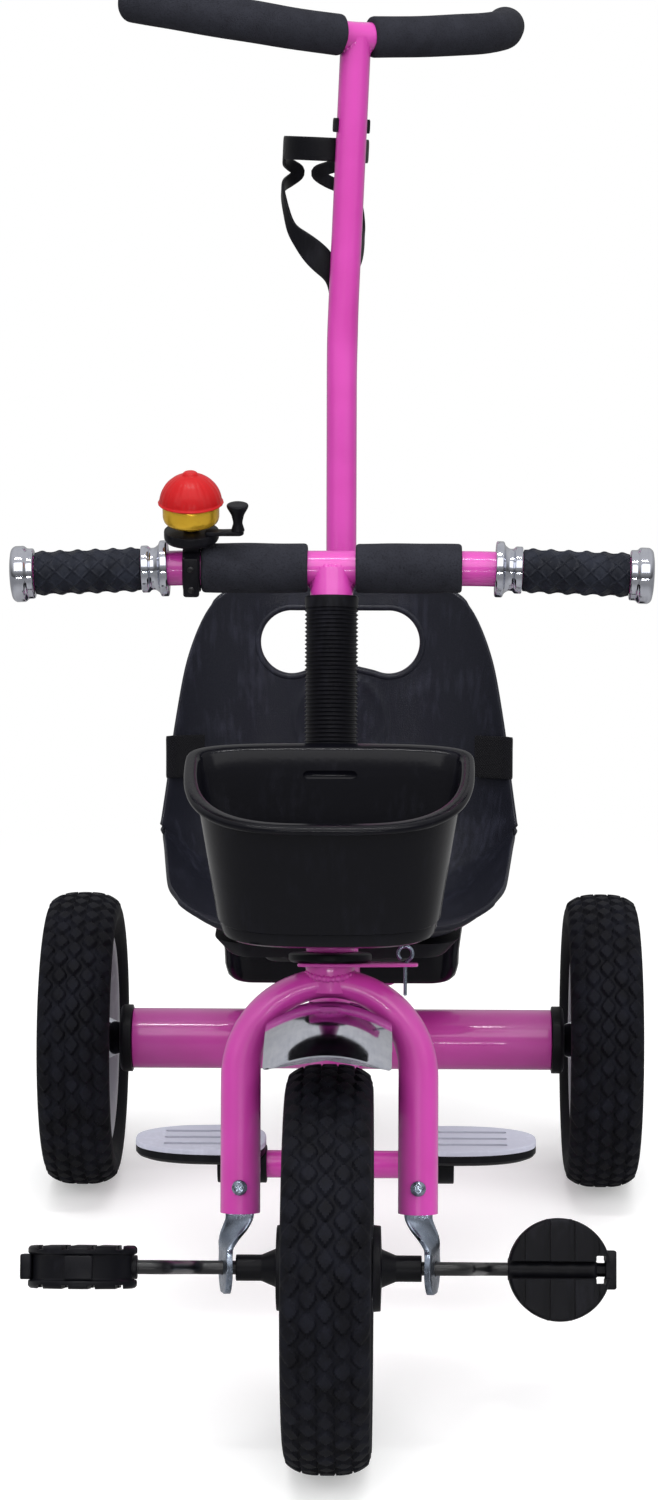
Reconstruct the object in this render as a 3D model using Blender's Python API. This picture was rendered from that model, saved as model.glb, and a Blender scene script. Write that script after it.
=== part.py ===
"""Child's pedal tricycle with a turning push handle, front basket and rear box.

The front wheel is driven directly by its cranks. The model is built in a working frame whose
origin is on the ground under the front axle: +X is to the rider's left as seen from the front,
+Y runs back towards the rear wheels and +Z is up. One root empty then moves everything so that
the origin lies on the ground at the middle of the whole tricycle. All sizes are in metres.
"""
import math

import bmesh
import bpy
import numpy as np
from mathutils import Matrix, Vector

for item in list(bpy.data.objects):
    bpy.data.objects.remove(item, do_unlink=True)

# Clearances
GAP = 0.0003
RUNNING_GAP = 0.0006

# Wheels
FRONT_WHEEL_RADIUS = 0.127
FRONT_TYRE_WIDTH = 0.055
REAR_WHEEL_RADIUS = 0.111
REAR_TYRE_WIDTH = 0.054
WHEELBASE = 0.500
REAR_TRACK = 0.393
RIM_SHARE = 0.755
TREAD_DEPTH = 0.0026
TREAD_BLOCKS_FRONT = 26
TREAD_BLOCKS_REAR = 22
FRONT_FLANGE_RADIUS = 0.027
FRONT_SLEEVE_RADIUS = 0.0082
FRONT_SLEEVE_END = 0.0580
REAR_HUB_RADIUS = 0.060
REAR_ROD_RADIUS = 0.005

# Steering axis and fork, measured along the raked axis from the front axle
RAKE = math.radians(15.0)
FORK_TUBE_RADIUS = 0.0125
FORK_HALF_WIDTH = 0.0555
FORK_LEG_START = 0.0345
FORK_CROWN = 0.1745
SCREW_T = FORK_LEG_START + 0.0165
CROWN_SQUEEZE = 0.26
FENDER_ANGLES = [5.0, 6.6, 11.0, 16.5, 22.0, 28.0, 34.0]
LOCK_PLATE_START = 0.1885
LOCK_PLATE_THICKNESS = 0.0020
LOCK_PLATE_REACH = 0.055
LOCK_PIN_X = 0.047
LOCK_WIRE_RADIUS = 0.0011
LOCK_HOLE_RADIUS = LOCK_WIRE_RADIUS + 1.5 * GAP
LOCK_LOOP_RADIUS = 0.0045
HEAD_BOTTOM = 0.1972
HEAD_TOP = 0.2750
HEAD_TUBE_RADIUS = 0.0150
STEERER_RADIUS = 0.0100
CUP_RADIUS = 0.0260
CUP_HEIGHT = 0.0060
BRACKET_RING_HEIGHT = 0.0040
STEM_BOTTOM = HEAD_TOP + CUP_HEIGHT + GAP + BRACKET_RING_HEIGHT + GAP
STEM_RADIUS = 0.0135
SLEEVE_RADIUS = 0.0168
BAR_HEIGHT = 0.4375
SLEEVE_TOP = BAR_HEIGHT - 0.0175
SLEEVE_RIBS = 36
DROPOUT_WIDTH = 0.0180
DROPOUT_THICKNESS = 0.0045
DROPOUT_X = 0.0645
DROPOUT_EYE_RADIUS = 0.0170

# Handlebar
BAR_RADIUS = 0.0110
BAR_KINK = 0.0950
BAR_DROOP = math.radians(2.4)
FOAM_RADIUS = 0.0158
BAR_FOAM_START = 0.0150
BAR_FOAM_END = 0.0815
COLLAR_START = 0.1023
GRIP_START = 0.1196
GRIP_END = 0.1863
BAR_CAP_END = 0.2015
GRIP_RADIUS = 0.0134
CAP_RADIUS = 0.0176
BELL_X = -0.0876
BELL_LEAN = math.radians(10.0)
BELL_CLAMP_WIDTH = 0.0110
BELL_BASE_LOW = CAP_RADIUS + 2.0 * GAP

# Pedals and cranks
CRANK_RADIUS = 0.078
CRANK_ANGLE = math.radians(22.0)
ROD_RADIUS = 0.0043
CRANK_X = 0.0860
PEDAL_START = 0.1140
PEDAL_END = 0.1840
PEDAL_RADIUS = 0.0330
PEDAL_THICKNESS = 0.0255
PEDAL_TILT = math.radians(21.0)

# Frame
REAR_TUBE_RADIUS = 0.0228
REAR_TUBE_HALF = REAR_TRACK / 2.0 - 0.0377
TUBE_WALL = 0.0020
BUSH_RADIUS = 0.0255
BUSH_WIDTH = 0.0090
SPINE_RADIUS = 0.0165
SPINE_LOW_Z = REAR_WHEEL_RADIUS + 0.0110
SPINE_BEND_Y = WHEELBASE - 0.2100
SPINE_TOP_REACH_Y = 0.1544
SPINE_TOP_DROP_Z = 0.0351
SPINE_LOW_REACH_Y = 0.1420
FOOTREST_Y = WHEELBASE - 0.2600
FOOTREST_Z = SPINE_LOW_Z - 0.0155
FOOTREST_BAR_RADIUS = 0.0095
FOOTREST_INNER = 0.0480
FOOTREST_REACH = 0.1380
FOOTREST_DEPTH = 0.0520
FOOTREST_BASE_HEIGHT = 0.0060
FOOTREST_PAD_HEIGHT = 0.0035

# Push handle
POLE_RADIUS = 0.0110
POLE_LEAN = math.radians(10.0)
POLE_BEND = math.radians(6.0)
HANDLE_TURN = math.radians(26.0)
SOCKET_FOOT = REAR_WHEEL_RADIUS + 0.0310
SOCKET_TOP = SOCKET_FOOT + 0.1180
SOCKET_RADIUS = 0.0145
POLE_REFERENCE_Y = WHEELBASE - 0.0220
POLE_REFERENCE_Z = 0.5120
BEND_Z = 0.6450
HANDLE_Z = 0.8600
POLE_FOOT_Z = SOCKET_FOOT + 0.012
UPPER_LENGTH = (HANDLE_Z - BEND_Z) / math.cos(POLE_LEAN - POLE_BEND)
LOWER_LENGTH = (BEND_Z - POLE_FOOT_Z) / math.cos(POLE_LEAN)
T_BAR_RADIUS = 0.0105
T_BAR_STRAIGHT = 0.067
T_BAR_BEND_RADIUS = 0.085
T_BAR_SWEEP = math.radians(60.0)
T_BAR_END = 0.026
T_BAR_TOTAL = T_BAR_STRAIGHT + T_BAR_BEND_RADIUS * T_BAR_SWEEP + T_BAR_END
T_BAR_RISE = 0.018
HANDLE_FOAM_RADIUS = 0.0150
HANDLE_FOAM_GAP = 0.0045

# Bottle cage, below the handle along the pole
CAGE_TOP = 0.0720
CAGE_RING_RADIUS = 0.0290
CAGE_BAND = 0.0025
CAGE_RING_HEIGHT = 0.0170
CAGE_LENGTH = 0.1225

# Seat
SEAT_FRONT_Y = WHEELBASE - 0.2650
SEAT_FLOOR_Z = 0.2550
SEAT_FRONT_Z = SEAT_FLOOR_Z + 0.0230
SEAT_WALL = 0.0040
SEAT_HALF_WIDTH = 0.1250
SEAT_TOP_Z = SEAT_FLOOR_Z + 0.2330
SEAT_BACK_Y = WHEELBASE - 0.0650
SEAT_POST_Y = WHEELBASE - 0.1750
SEAT_PLATE_HALF_X = 0.0500
SEAT_PLATE_HALF_Y = 0.0400
HAND_HOLE_Y = SEAT_BACK_Y - 0.0150
HAND_HOLE_Z = SEAT_TOP_Z - 0.0400
HAND_HOLE_HALF = 0.0340
HAND_HOLE_LOBE = 0.0225
BELT_ALONG = 0.70
BELT_HALF = 0.0150
BELT_THICKNESS = 0.0018
SEAT_BASE_HEIGHT = 0.0120

# Baskets
BASKET_RIM_HALF = 0.0830
BASKET_FLOOR_HALF = 0.0665
BASKET_WALL = 0.0025
BASKET_FLOOR_Z = FRONT_WHEEL_RADIUS + HEAD_TOP * math.cos(RAKE) - 0.0496
BASKET_BACK_OFFSET = 0.0235
BASKET_RIM_BACK_Z = BASKET_FLOOR_Z + 0.1040
BASKET_RIM_DEPTH = 0.1080
BASKET_FLOOR_DEPTH = 0.0660
BASKET_RIM_SLOPE = math.radians(11.0)
BASKET_LIP = 0.0065
BOX_HALF = 0.0970
BOX_FRONT_Y = WHEELBASE - 0.0340
BOX_DEPTH = 0.1300
BOX_FLOOR_Z = REAR_WHEEL_RADIUS + 0.0510
BOX_HEIGHT = 0.0760
BOX_WALL = 0.0030
SHELF_HALF_X = 0.0400
SHELF_HALF_Y = 0.0360
SHELF_FORWARD = 0.0120
SHELF_THICKNESS = 0.0030
BOX_POST_HALF_X = 0.0200
BOX_POST_HALF_Y = 0.0060


def colour(red, green, blue):
    """Linear colour of an sRGB colour given as 0 to 255."""
    def linear(value):
        value /= 255.0
        return value / 12.92 if value <= 0.04045 else ((value + 0.055) / 1.055) ** 2.4
    return (linear(red), linear(green), linear(blue), 1.0)


def finish_material(name, rgb, roughness, metallic=0.0):
    """One Principled BSDF material."""
    material = bpy.data.materials.new(name)
    material.use_nodes = True
    shader = material.node_tree.nodes["Principled BSDF"]
    shader.inputs["Base Color"].default_value = colour(*rgb)
    shader.inputs["Roughness"].default_value = roughness
    shader.inputs["Metallic"].default_value = metallic
    return material


PINK = finish_material("pink_paint", (206, 58, 150), 0.25)
BLACK_PLASTIC = finish_material("black_plastic", (24, 24, 28), 0.35)
BLACK_FOAM = finish_material("black_foam", (34, 34, 36), 0.9)
RUBBER = finish_material("black_rubber", (38, 38, 40), 0.8)
CHROME = finish_material("chrome", (225, 225, 225), 0.1, 1.0)
ZINC = finish_material("zinc_plate", (170, 172, 176), 0.35, 1.0)
GOLD = finish_material("brass_finish", (205, 160, 50), 0.3, 1.0)
RED = finish_material("red_plastic", (190, 30, 35), 0.4)
GREY = finish_material("grey_plastic", (150, 152, 156), 0.5)
WEBBING = finish_material("black_webbing", (26, 26, 28), 0.85)


def empty(name, parent=None, matrix=None):
    """A joint or placement point that carries other pieces."""
    point = bpy.data.objects.new(name, None)
    bpy.context.scene.collection.objects.link(point)
    point.parent = parent
    point.matrix_local = matrix or Matrix.Identity(4)
    return point


def add_object(name, mesh, material, parent=None, matrix=None, smooth=30.0):
    """Link a mesh as a named object, shaded smooth up to the given crease angle."""
    mesh.materials.append(material)
    if smooth:
        mesh.shade_smooth()
        mesh.set_sharp_from_angle(angle=math.radians(smooth))
    piece = bpy.data.objects.new(name, mesh)
    bpy.context.scene.collection.objects.link(piece)
    piece.parent = parent
    piece.matrix_local = matrix or Matrix.Identity(4)
    return piece


def mesh_from(name, work):
    """Turn a bmesh into a mesh with its faces pointing out."""
    bmesh.ops.remove_doubles(work, verts=work.verts, dist=1e-6)
    bmesh.ops.recalc_face_normals(work, faces=work.faces)
    mesh = bpy.data.meshes.new(name)
    work.to_mesh(mesh)
    work.free()
    return mesh


def turned(name, profile, segments):
    """Closed solid of revolution about Z from (radius, height) points.

    A profile that starts and ends on the axis gives a solid; any other profile is closed on
    itself and gives a ring.
    """
    work = bmesh.new()
    points = [work.verts.new((radius, 0.0, height)) for radius, height in profile]
    edges = [work.edges.new((a, b)) for a, b in zip(points, points[1:])]
    if profile[0][0] > 0.0:
        edges.append(work.edges.new((points[-1], points[0])))
    bmesh.ops.spin(work, geom=points + edges, axis=(0, 0, 1), cent=(0, 0, 0),
                   angle=2.0 * math.pi, steps=segments, use_merge=True)
    return mesh_from(name, work)


def clear_bore(shaft, segments):
    """Radius of a faceted bore whose flats clear a shaft of the given radius."""
    return (shaft + GAP) / math.cos(math.pi / segments)


def lofted(name, rings):
    """Closed solid through rings of equally many points, its two ends filled."""
    work = bmesh.new()
    rows = [[work.verts.new(point) for point in ring] for ring in rings]
    count = len(rows[0])
    for low, high in zip(rows, rows[1:]):
        for index in range(count):
            after = (index + 1) % count
            work.faces.new((low[index], low[after], high[after], high[index]))
    work.faces.new(list(reversed(rows[0])))
    work.faces.new(rows[-1])
    return mesh_from(name, work)


def extruded(name, outline, low, high):
    """Flat plate of an XY outline between two heights."""
    return lofted(name, [[(x, y, low) for x, y in outline], [(x, y, high) for x, y in outline]])


def block(name, low, high):
    """Rectangular solid between two corners."""
    outline = [(low[0], low[1]), (high[0], low[1]), (high[0], high[1]), (low[0], high[1])]
    return extruded(name, outline, low[2], high[2])


def tube_along(name, points, radius, material, parent=None, matrix=None, sides=12):
    """Round bar along a list of points: one ring of points in the plane that halves each corner.

    The rings are carried along the path without twisting, and are stretched at a corner so that
    both straight stretches keep their round section.
    """
    path = [Vector(point) for point in points]
    steps = [(after - before).normalized() for before, after in zip(path, path[1:])]
    aside = steps[0].orthogonal().normalized()
    rings = []
    for index, point in enumerate(path):
        before = steps[max(index - 1, 0)]
        after = steps[min(index, len(steps) - 1)]
        ahead = (before + after).normalized()
        aside = (aside - ahead * aside.dot(ahead)).normalized()
        upward = ahead.cross(aside)
        corner = (after - before)
        stretch = 1.0 / max(0.2, before.dot(ahead))
        bend = corner.normalized() if corner.length > 1e-6 else None
        ring = []
        for side in range(sides):
            turn = 2.0 * math.pi * (side + 0.5) / sides
            offset = (aside * math.cos(turn) + upward * math.sin(turn)) * radius
            if bend:
                offset += bend * offset.dot(bend) * (stretch - 1.0)
            ring.append(point + offset)
        rings.append(ring)
    return add_object(name, lofted(name, rings), material, parent, matrix, smooth=40.0)


def cut(piece, cutter, operation="DIFFERENCE"):
    """Boolean with a hidden helper object; the helper keeps its own parent."""
    cutter.hide_render = True
    cutter.display_type = "WIRE"
    modifier = piece.modifiers.new(operation.lower(), "BOOLEAN")
    modifier.operation = operation
    modifier.object = cutter
    modifier.solver = "EXACT"


def arc(centre, radius, start, end, steps):
    """Points on a flat arc, angles in radians."""
    angles = np.linspace(start, end, steps + 1)
    return [(centre[0] + radius * math.cos(a), centre[1] + radius * math.sin(a)) for a in angles]


def rounded_box_outline(half_x, half_y, corner, steps=4):
    """Rectangle outline with round corners, centred on the origin."""
    outline = []
    for sign_x, sign_y, start in ((1, 1, 0.0), (-1, 1, 0.5), (-1, -1, 1.0), (1, -1, 1.5)):
        centre = (sign_x * (half_x - corner), sign_y * (half_y - corner))
        outline += arc(centre, corner, start * math.pi, (start + 0.5) * math.pi, steps)
    return outline


def rounded_path(corners, radius, steps=4):
    """Polyline through 3-D corners with each inner corner replaced by an arc."""
    path = [Vector(corners[0])]
    for before, corner, after in zip(corners, corners[1:], corners[2:]):
        corner = Vector(corner)
        inward = (Vector(before) - corner).normalized()
        outward = (Vector(after) - corner).normalized()
        half = inward.angle(outward) / 2.0
        reach = radius / math.tan(half)
        centre = corner + (inward + outward).normalized() * (radius / math.sin(half))
        first = (corner + inward * reach - centre).normalized()
        last = (corner + outward * reach - centre).normalized()
        for share in np.linspace(0.0, 1.0, steps + 1):
            path.append(centre + first.slerp(last, share) * radius)
    path.append(Vector(corners[-1]))
    return path


def bezier(p0, p1, p2, p3, steps):
    """Points of one cubic curve."""
    share = np.linspace(0.0, 1.0, steps + 1)[:, None]
    rest = 1.0 - share
    points = (rest ** 3 * np.array(p0) + 3 * rest ** 2 * share * np.array(p1)
              + 3 * rest * share ** 2 * np.array(p2) + share ** 3 * np.array(p3))
    return [tuple(point) for point in points]


ALONG_X = Matrix.Rotation(math.radians(90.0), 4, "Y")


def turned_along_x(side):
    """Matrix that turns a solid made about Z so that its +Z points to the given side of X."""
    return ALONG_X if side > 0 else Matrix.Rotation(math.radians(-90.0), 4, "Y")


# Placement points
TRICYCLE = empty("tricycle")
STEERING = empty("steering_axis", TRICYCLE,
                 Matrix.Translation((0.0, 0.0, FRONT_WHEEL_RADIUS)) @ Matrix.Rotation(-RAKE, 4, "X"))
FRONT_AXLE = empty("front_axle", STEERING, Matrix.Rotation(RAKE, 4, "X"))
STEERING_UPRIGHT = empty("steering_upright", STEERING,
                         Matrix.Rotation(RAKE, 4, "X") @ Matrix.Translation((0.0, 0.0, -FRONT_WHEEL_RADIUS)))
REAR_AXLE = empty("rear_axle", TRICYCLE, Matrix.Translation((0.0, WHEELBASE, REAR_WHEEL_RADIUS)))


def on_pole_axis(height):
    """Working-frame Y of the pole's lower axis at a height."""
    return POLE_REFERENCE_Y + (height - POLE_REFERENCE_Z) * math.tan(POLE_LEAN)


HANDLE = empty("push_handle_axis", TRICYCLE,
               Matrix.Translation((0.0, on_pole_axis(POLE_FOOT_Z), POLE_FOOT_Z))
               @ Matrix.Rotation(-POLE_LEAN, 4, "X") @ Matrix.Rotation(HANDLE_TURN, 4, "Z"))
SOCKET_AXIS = empty("socket_axis", TRICYCLE,
                    Matrix.Translation((0.0, on_pole_axis(SOCKET_FOOT), SOCKET_FOOT))
                    @ Matrix.Rotation(-POLE_LEAN, 4, "X"))


def tyre(name, radius, width, blocks, parent, matrix):
    """Tyre with staggered diamond tread blocks.

    The section is a loop of points from bead to bead. Points on the tread are lifted by the
    tread depth on every other step round the wheel, shifted by one step from row to row, so
    each lifted point is the top of one diamond block.
    """
    bead = radius * RIM_SHARE
    half = width / 2.0
    base = radius - TREAD_DEPTH
    wall = [(bead, 0.68), (bead + 0.52 * (radius - bead), 1.0)]
    tread = [(base - 0.0062, 0.92), (base - 0.0018, 0.62), (base - 0.0004, 0.31), (base, 0.0)]
    right = [(r, share * half, False) for r, share in wall] + [(r, share * half, True) for r, share in tread]
    section = right + [(r, -x, lift) for r, x, lift in reversed(right[:-1])]
    steps = 2 * blocks
    work = bmesh.new()
    rows = []
    for step in range(steps):
        turn = 2.0 * math.pi * step / steps
        row = []
        for place, (r, x, lift) in enumerate(section):
            raised = lift and (step + place - len(right) + 1) % 2 == 0
            r_here = r + TREAD_DEPTH if raised else r
            row.append(work.verts.new((-r_here * math.cos(turn), r_here * math.sin(turn), x)))
        rows.append(row)
    count = len(section)
    for step in range(steps):
        here, there = rows[step], rows[(step + 1) % steps]
        for place in range(count):
            after = (place + 1) % count
            work.faces.new((here[place], here[after], there[after], there[place]))
    return add_object(name, mesh_from(name, work), RUBBER, parent, matrix, smooth=20.0)


def wheel_rim(name, radius, width, hub_radius, parent, matrix):
    """Rim ring with a thin web down to the hub disc."""
    outer = radius * RIM_SHARE - GAP
    half = width * 0.36
    inner = outer - 0.010
    profile = [(hub_radius, -0.003), (inner - 0.006, -0.004), (inner, -half), (outer, -half),
               (outer, half), (inner, half), (inner - 0.006, 0.004), (hub_radius, 0.003)]
    return add_object(name, turned(name, profile, 18), GREY, parent, matrix)


def front_wheel():
    """Tyre, rim, and the black hub with its flanges and axle sleeves."""
    place = ALONG_X
    tyre("front_tyre", FRONT_WHEEL_RADIUS, FRONT_TYRE_WIDTH, TREAD_BLOCKS_FRONT, FRONT_AXLE, place)
    hub_core = 0.020
    wheel_rim("front_rim", FRONT_WHEEL_RADIUS, FRONT_TYRE_WIDTH, hub_core, FRONT_AXLE, place)
    flange_in = FRONT_TYRE_WIDTH / 2.0
    flange_out = flange_in + 0.005
    bore = ROD_RADIUS + GAP
    half_profile = [(bore, FRONT_SLEEVE_END), (FRONT_SLEEVE_RADIUS, FRONT_SLEEVE_END),
                    (FRONT_SLEEVE_RADIUS, 0.0410), (0.0125, flange_out), (FRONT_FLANGE_RADIUS, flange_out),
                    (FRONT_FLANGE_RADIUS, flange_in), (hub_core - GAP, flange_in)]
    profile = half_profile + [(r, -x) for r, x in reversed(half_profile)]
    add_object("front_hub", turned("front_hub", profile, 16), BLACK_PLASTIC, FRONT_AXLE, place)


def crank_rod():
    """One bent steel rod: left pedal spindle, left crank, axle, right crank, right spindle."""
    forward = (-math.cos(CRANK_ANGLE) * CRANK_RADIUS, math.sin(CRANK_ANGLE) * CRANK_RADIUS)
    left_end = -(PEDAL_END - 0.008)
    corners = [(left_end, forward[0], forward[1]), (-(CRANK_X + 0.012), forward[0], forward[1]),
               (-CRANK_X, 0.0, 0.0), (CRANK_X, 0.0, 0.0),
               (CRANK_X + 0.012, -forward[0], -forward[1]), (-left_end, -forward[0], -forward[1])]
    path = rounded_path(corners, 0.009, 3)
    tube_along("crank_rod", path, ROD_RADIUS, BLACK_PLASTIC, FRONT_AXLE, sides=8)


def pedal(side):
    """Round pedal of two half-moon treads on a bored hub, with a bridge at its outer end."""
    name = "pedal_left" if side < 0 else "pedal_right"
    direction = -1.0 if side < 0 else 1.0
    centre_y = direction * math.cos(CRANK_ANGLE) * CRANK_RADIUS
    centre_z = -direction * math.sin(CRANK_ANGLE) * CRANK_RADIUS
    flat = Matrix.Identity(4) if side < 0 else Matrix.Rotation(math.radians(90.0), 4, "X")
    tilt = Matrix.Rotation(-PEDAL_TILT, 4, "X")
    spindle = empty(name + "_spindle", FRONT_AXLE, Matrix.Translation((0.0, centre_y, centre_z)) @ tilt @ flat)
    middle = side * (PEDAL_START + PEDAL_RADIUS)
    half = PEDAL_THICKNESS / 2.0
    outline = arc((middle, 0.0), PEDAL_RADIUS, 0.0, 2.0 * math.pi, 22)[:-1]
    body = add_object(name, extruded(name, outline, -half, half), BLACK_PLASTIC, spindle)
    bridge_end = side * PEDAL_END
    bridge_start = side * (PEDAL_START + 1.55 * PEDAL_RADIUS)
    low_x, high_x = sorted((bridge_start, bridge_end))
    bridge = add_object(name + "_bridge", block(name + "_bridge", (low_x, -0.0125, -0.0075),
                                                (high_x, 0.0125, 0.0075)), BLACK_PLASTIC, spindle)
    cut(body, bridge, "UNION")
    for face in (-1, 1):
        for place in (-1, 0, 1):
            x = middle + place * PEDAL_RADIUS * 0.48
            groove = add_object(f"{name}_groove_{face}_{place}",
                                block("groove", (x - 0.002, -0.05, 0.0), (x + 0.002, 0.05, 0.010)),
                                BLACK_PLASTIC, spindle,
                                Matrix.Translation((0.0, 0.0, half - 0.0045)) if face > 0 else
                                Matrix.Translation((0.0, 0.0, -half - 0.0055)))
            cut(body, groove)
    for row in (-1, 1):
        slot_x = sorted((side * (PEDAL_START + 0.009), side * (PEDAL_END - 0.014)))
        slot = add_object(f"{name}_slot_{row}",
                          block("slot", (slot_x[0], row * 0.0098 - 0.0018, -0.05),
                                (slot_x[1], row * 0.0098 + 0.0018, 0.05)), BLACK_PLASTIC, spindle)
        cut(body, slot)
    bore_radius = ROD_RADIUS + RUNNING_GAP
    bore_profile = [(0.0, -0.002), (bore_radius, -0.002), (bore_radius, PEDAL_END - 0.0060 - PEDAL_START),
                    (0.0, PEDAL_END - 0.0060 - PEDAL_START)]
    bore_profile.reverse()
    bore = add_object(name + "_bore", turned("bore", bore_profile, 16), BLACK_PLASTIC, spindle,
                      Matrix.Translation((side * PEDAL_START, 0.0, 0.0)) @ turned_along_x(side))
    cut(body, bore)


def flatten_crown(mesh, arch_centre):
    """Squeeze the bent tube towards the outside of its arch, most at the crown."""
    outside = FORK_HALF_WIDTH + FORK_TUBE_RADIUS
    for vertex in mesh.vertices:
        x, rise = vertex.co.x, vertex.co.z - arch_centre
        if rise > 0.0:
            reach = math.hypot(x, rise)
            squeeze = 1.0 - CROWN_SQUEEZE * (rise / reach) ** 1.5
            scale = (outside - (outside - reach) * squeeze) / reach
            vertex.co.x = x * scale
            vertex.co.z = arch_centre + rise * scale


def fork():
    """Fork weldment: arched tube, steerer with its boss, and the steering lock plate."""
    arch_centre = FORK_CROWN - FORK_HALF_WIDTH
    arch = [(x, 0.0, t) for x, t in arc((0.0, arch_centre), FORK_HALF_WIDTH, math.pi, 0.0, 11)]
    legs = [(-FORK_HALF_WIDTH, 0.0, FORK_LEG_START)] + arch + [(FORK_HALF_WIDTH, 0.0, FORK_LEG_START)]
    body = tube_along("fork", legs, FORK_TUBE_RADIUS, PINK, STEERING, sides=14)
    flatten_crown(body.data, arch_centre)
    boss_low = FORK_CROWN - 0.003
    steerer_profile = [(0.0, boss_low), (0.0135, boss_low), (0.0155, LOCK_PLATE_START),
                       (STEERER_RADIUS, LOCK_PLATE_START + 0.001),
                       (STEERER_RADIUS, HEAD_TOP + 0.030), (0.0, HEAD_TOP + 0.030)]
    steerer = add_object("fork_steerer", turned("fork_steerer", steerer_profile, 24), PINK, STEERING)
    cut(body, steerer, "UNION")
    plate_outline = ([(-0.020, -0.020), (0.015, -0.024)] + [(LOCK_PLATE_REACH, -0.011), (LOCK_PLATE_REACH, 0.011)]
                     + [(0.015, 0.024), (-0.020, 0.020)])
    plate = add_object("fork_plate", extruded("fork_plate", plate_outline, LOCK_PLATE_START,
                                              LOCK_PLATE_START + LOCK_PLATE_THICKNESS), PINK, STEERING)
    cut(body, plate, "UNION")
    pin_hole = add_object("fork_pin_hole", turned("hole", [(0.0, 0.01), (LOCK_HOLE_RADIUS, 0.01),
                                                           (LOCK_HOLE_RADIUS, -0.01), (0.0, -0.01)], 16), PINK, STEERING,
                          Matrix.Translation((LOCK_PIN_X, 0.0, LOCK_PLATE_START)))
    cut(body, pin_hole)
    for side in (-1, 1):
        socket_profile = [(0.0, 0.040), (FORK_TUBE_RADIUS - 0.0018, 0.040), (FORK_TUBE_RADIUS - 0.0018, -0.01),
                          (0.0, -0.01)]
        socket = add_object(f"fork_leg_bore_{side}", turned("bore", socket_profile, 16), PINK, STEERING,
                            Matrix.Translation((side * FORK_HALF_WIDTH, 0.0, FORK_LEG_START)))
        cut(body, socket)
        hole = add_object(f"fork_screw_hole_{side}", turned("hole", [(0.0, 0.02), (0.0026, 0.02), (0.0026, 0.0),
                                                                     (0.0, 0.0)], 12), PINK, STEERING,
                          Matrix.Translation((side * FORK_HALF_WIDTH, 0.0, SCREW_T))
                          @ Matrix.Rotation(math.radians(90.0), 4, "X"))
        cut(body, hole)


def dropout(side):
    """Flat bar twisted a quarter turn, from inside the fork leg down to the axle eye."""
    name = "dropout_left" if side < 0 else "dropout_right"
    half_w, half_t = DROPOUT_WIDTH / 2.0, DROPOUT_THICKNESS / 2.0
    top_half_w = FORK_TUBE_RADIUS - 0.0018 - 0.0012
    rings = []
    stations = [(0.036, 0.0, 0.0, top_half_w), (0.006, 0.0, 0.0, top_half_w), (-0.004, 0.10, 0.04, half_w * 0.95),
                (-0.010, 0.35, 0.35, half_w * 0.95), (-0.016, 0.70, 0.75, half_w),
                (-0.021, 0.92, 0.98, half_w * 1.25), (-0.026, 1.0, 1.0, DROPOUT_EYE_RADIUS * 0.90),
                (-0.0345, 1.0, 1.0, DROPOUT_EYE_RADIUS), (-0.043, 1.0, 1.0, DROPOUT_EYE_RADIUS * 0.86),
                (-0.0500, 1.0, 1.0, DROPOUT_EYE_RADIUS * 0.42)]
    for height, twist, shift, width in stations:
        angle = side * math.radians(78.0) * twist
        x0 = side * (FORK_HALF_WIDTH + shift * (DROPOUT_X - FORK_HALF_WIDTH))
        ring = []
        for corner_w, corner_t in ((1, 1), (-1, 1), (-1, -1), (1, -1)):
            across, deep = corner_w * width, corner_t * half_t
            ring.append((x0 + across * math.cos(angle) - deep * math.sin(angle),
                         across * math.sin(angle) + deep * math.cos(angle), FORK_LEG_START + height))
        rings.append(ring)
    body = add_object(name, lofted(name, rings), ZINC, STEERING)
    eye = add_object(name + "_eye", turned("eye", [(0.0, 0.02), (ROD_RADIUS + RUNNING_GAP, 0.02),
                                                   (ROD_RADIUS + RUNNING_GAP, -0.02), (0.0, -0.02)], 16),
                     ZINC, STEERING, Matrix.Translation((side * DROPOUT_X, 0.0, 0.0)) @ ALONG_X)
    cut(body, eye)
    hole = add_object(name + "_hole", turned("hole", [(0.0, 0.02), (0.0024, 0.02), (0.0024, -0.02), (0.0, -0.02)],
                                             12), ZINC, STEERING,
                      Matrix.Translation((side * FORK_HALF_WIDTH, 0.0, SCREW_T))
                      @ Matrix.Rotation(math.radians(90.0), 4, "X"))
    cut(body, hole)
    screw_name = "fork_screw_left" if side < 0 else "fork_screw_right"
    head = FORK_TUBE_RADIUS + GAP
    screw_profile = [(0.0, head + 0.0026), (0.0026, head + 0.0024), (0.0046, head + 0.0010), (0.0050, head),
                     (0.0020, head), (0.0020, -0.006), (0.0, -0.006)]
    add_object(screw_name, turned(screw_name, screw_profile, 10), ZINC, STEERING,
               Matrix.Translation((side * FORK_HALF_WIDTH, 0.0, SCREW_T))
               @ Matrix.Rotation(math.radians(90.0), 4, "X"))


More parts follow.
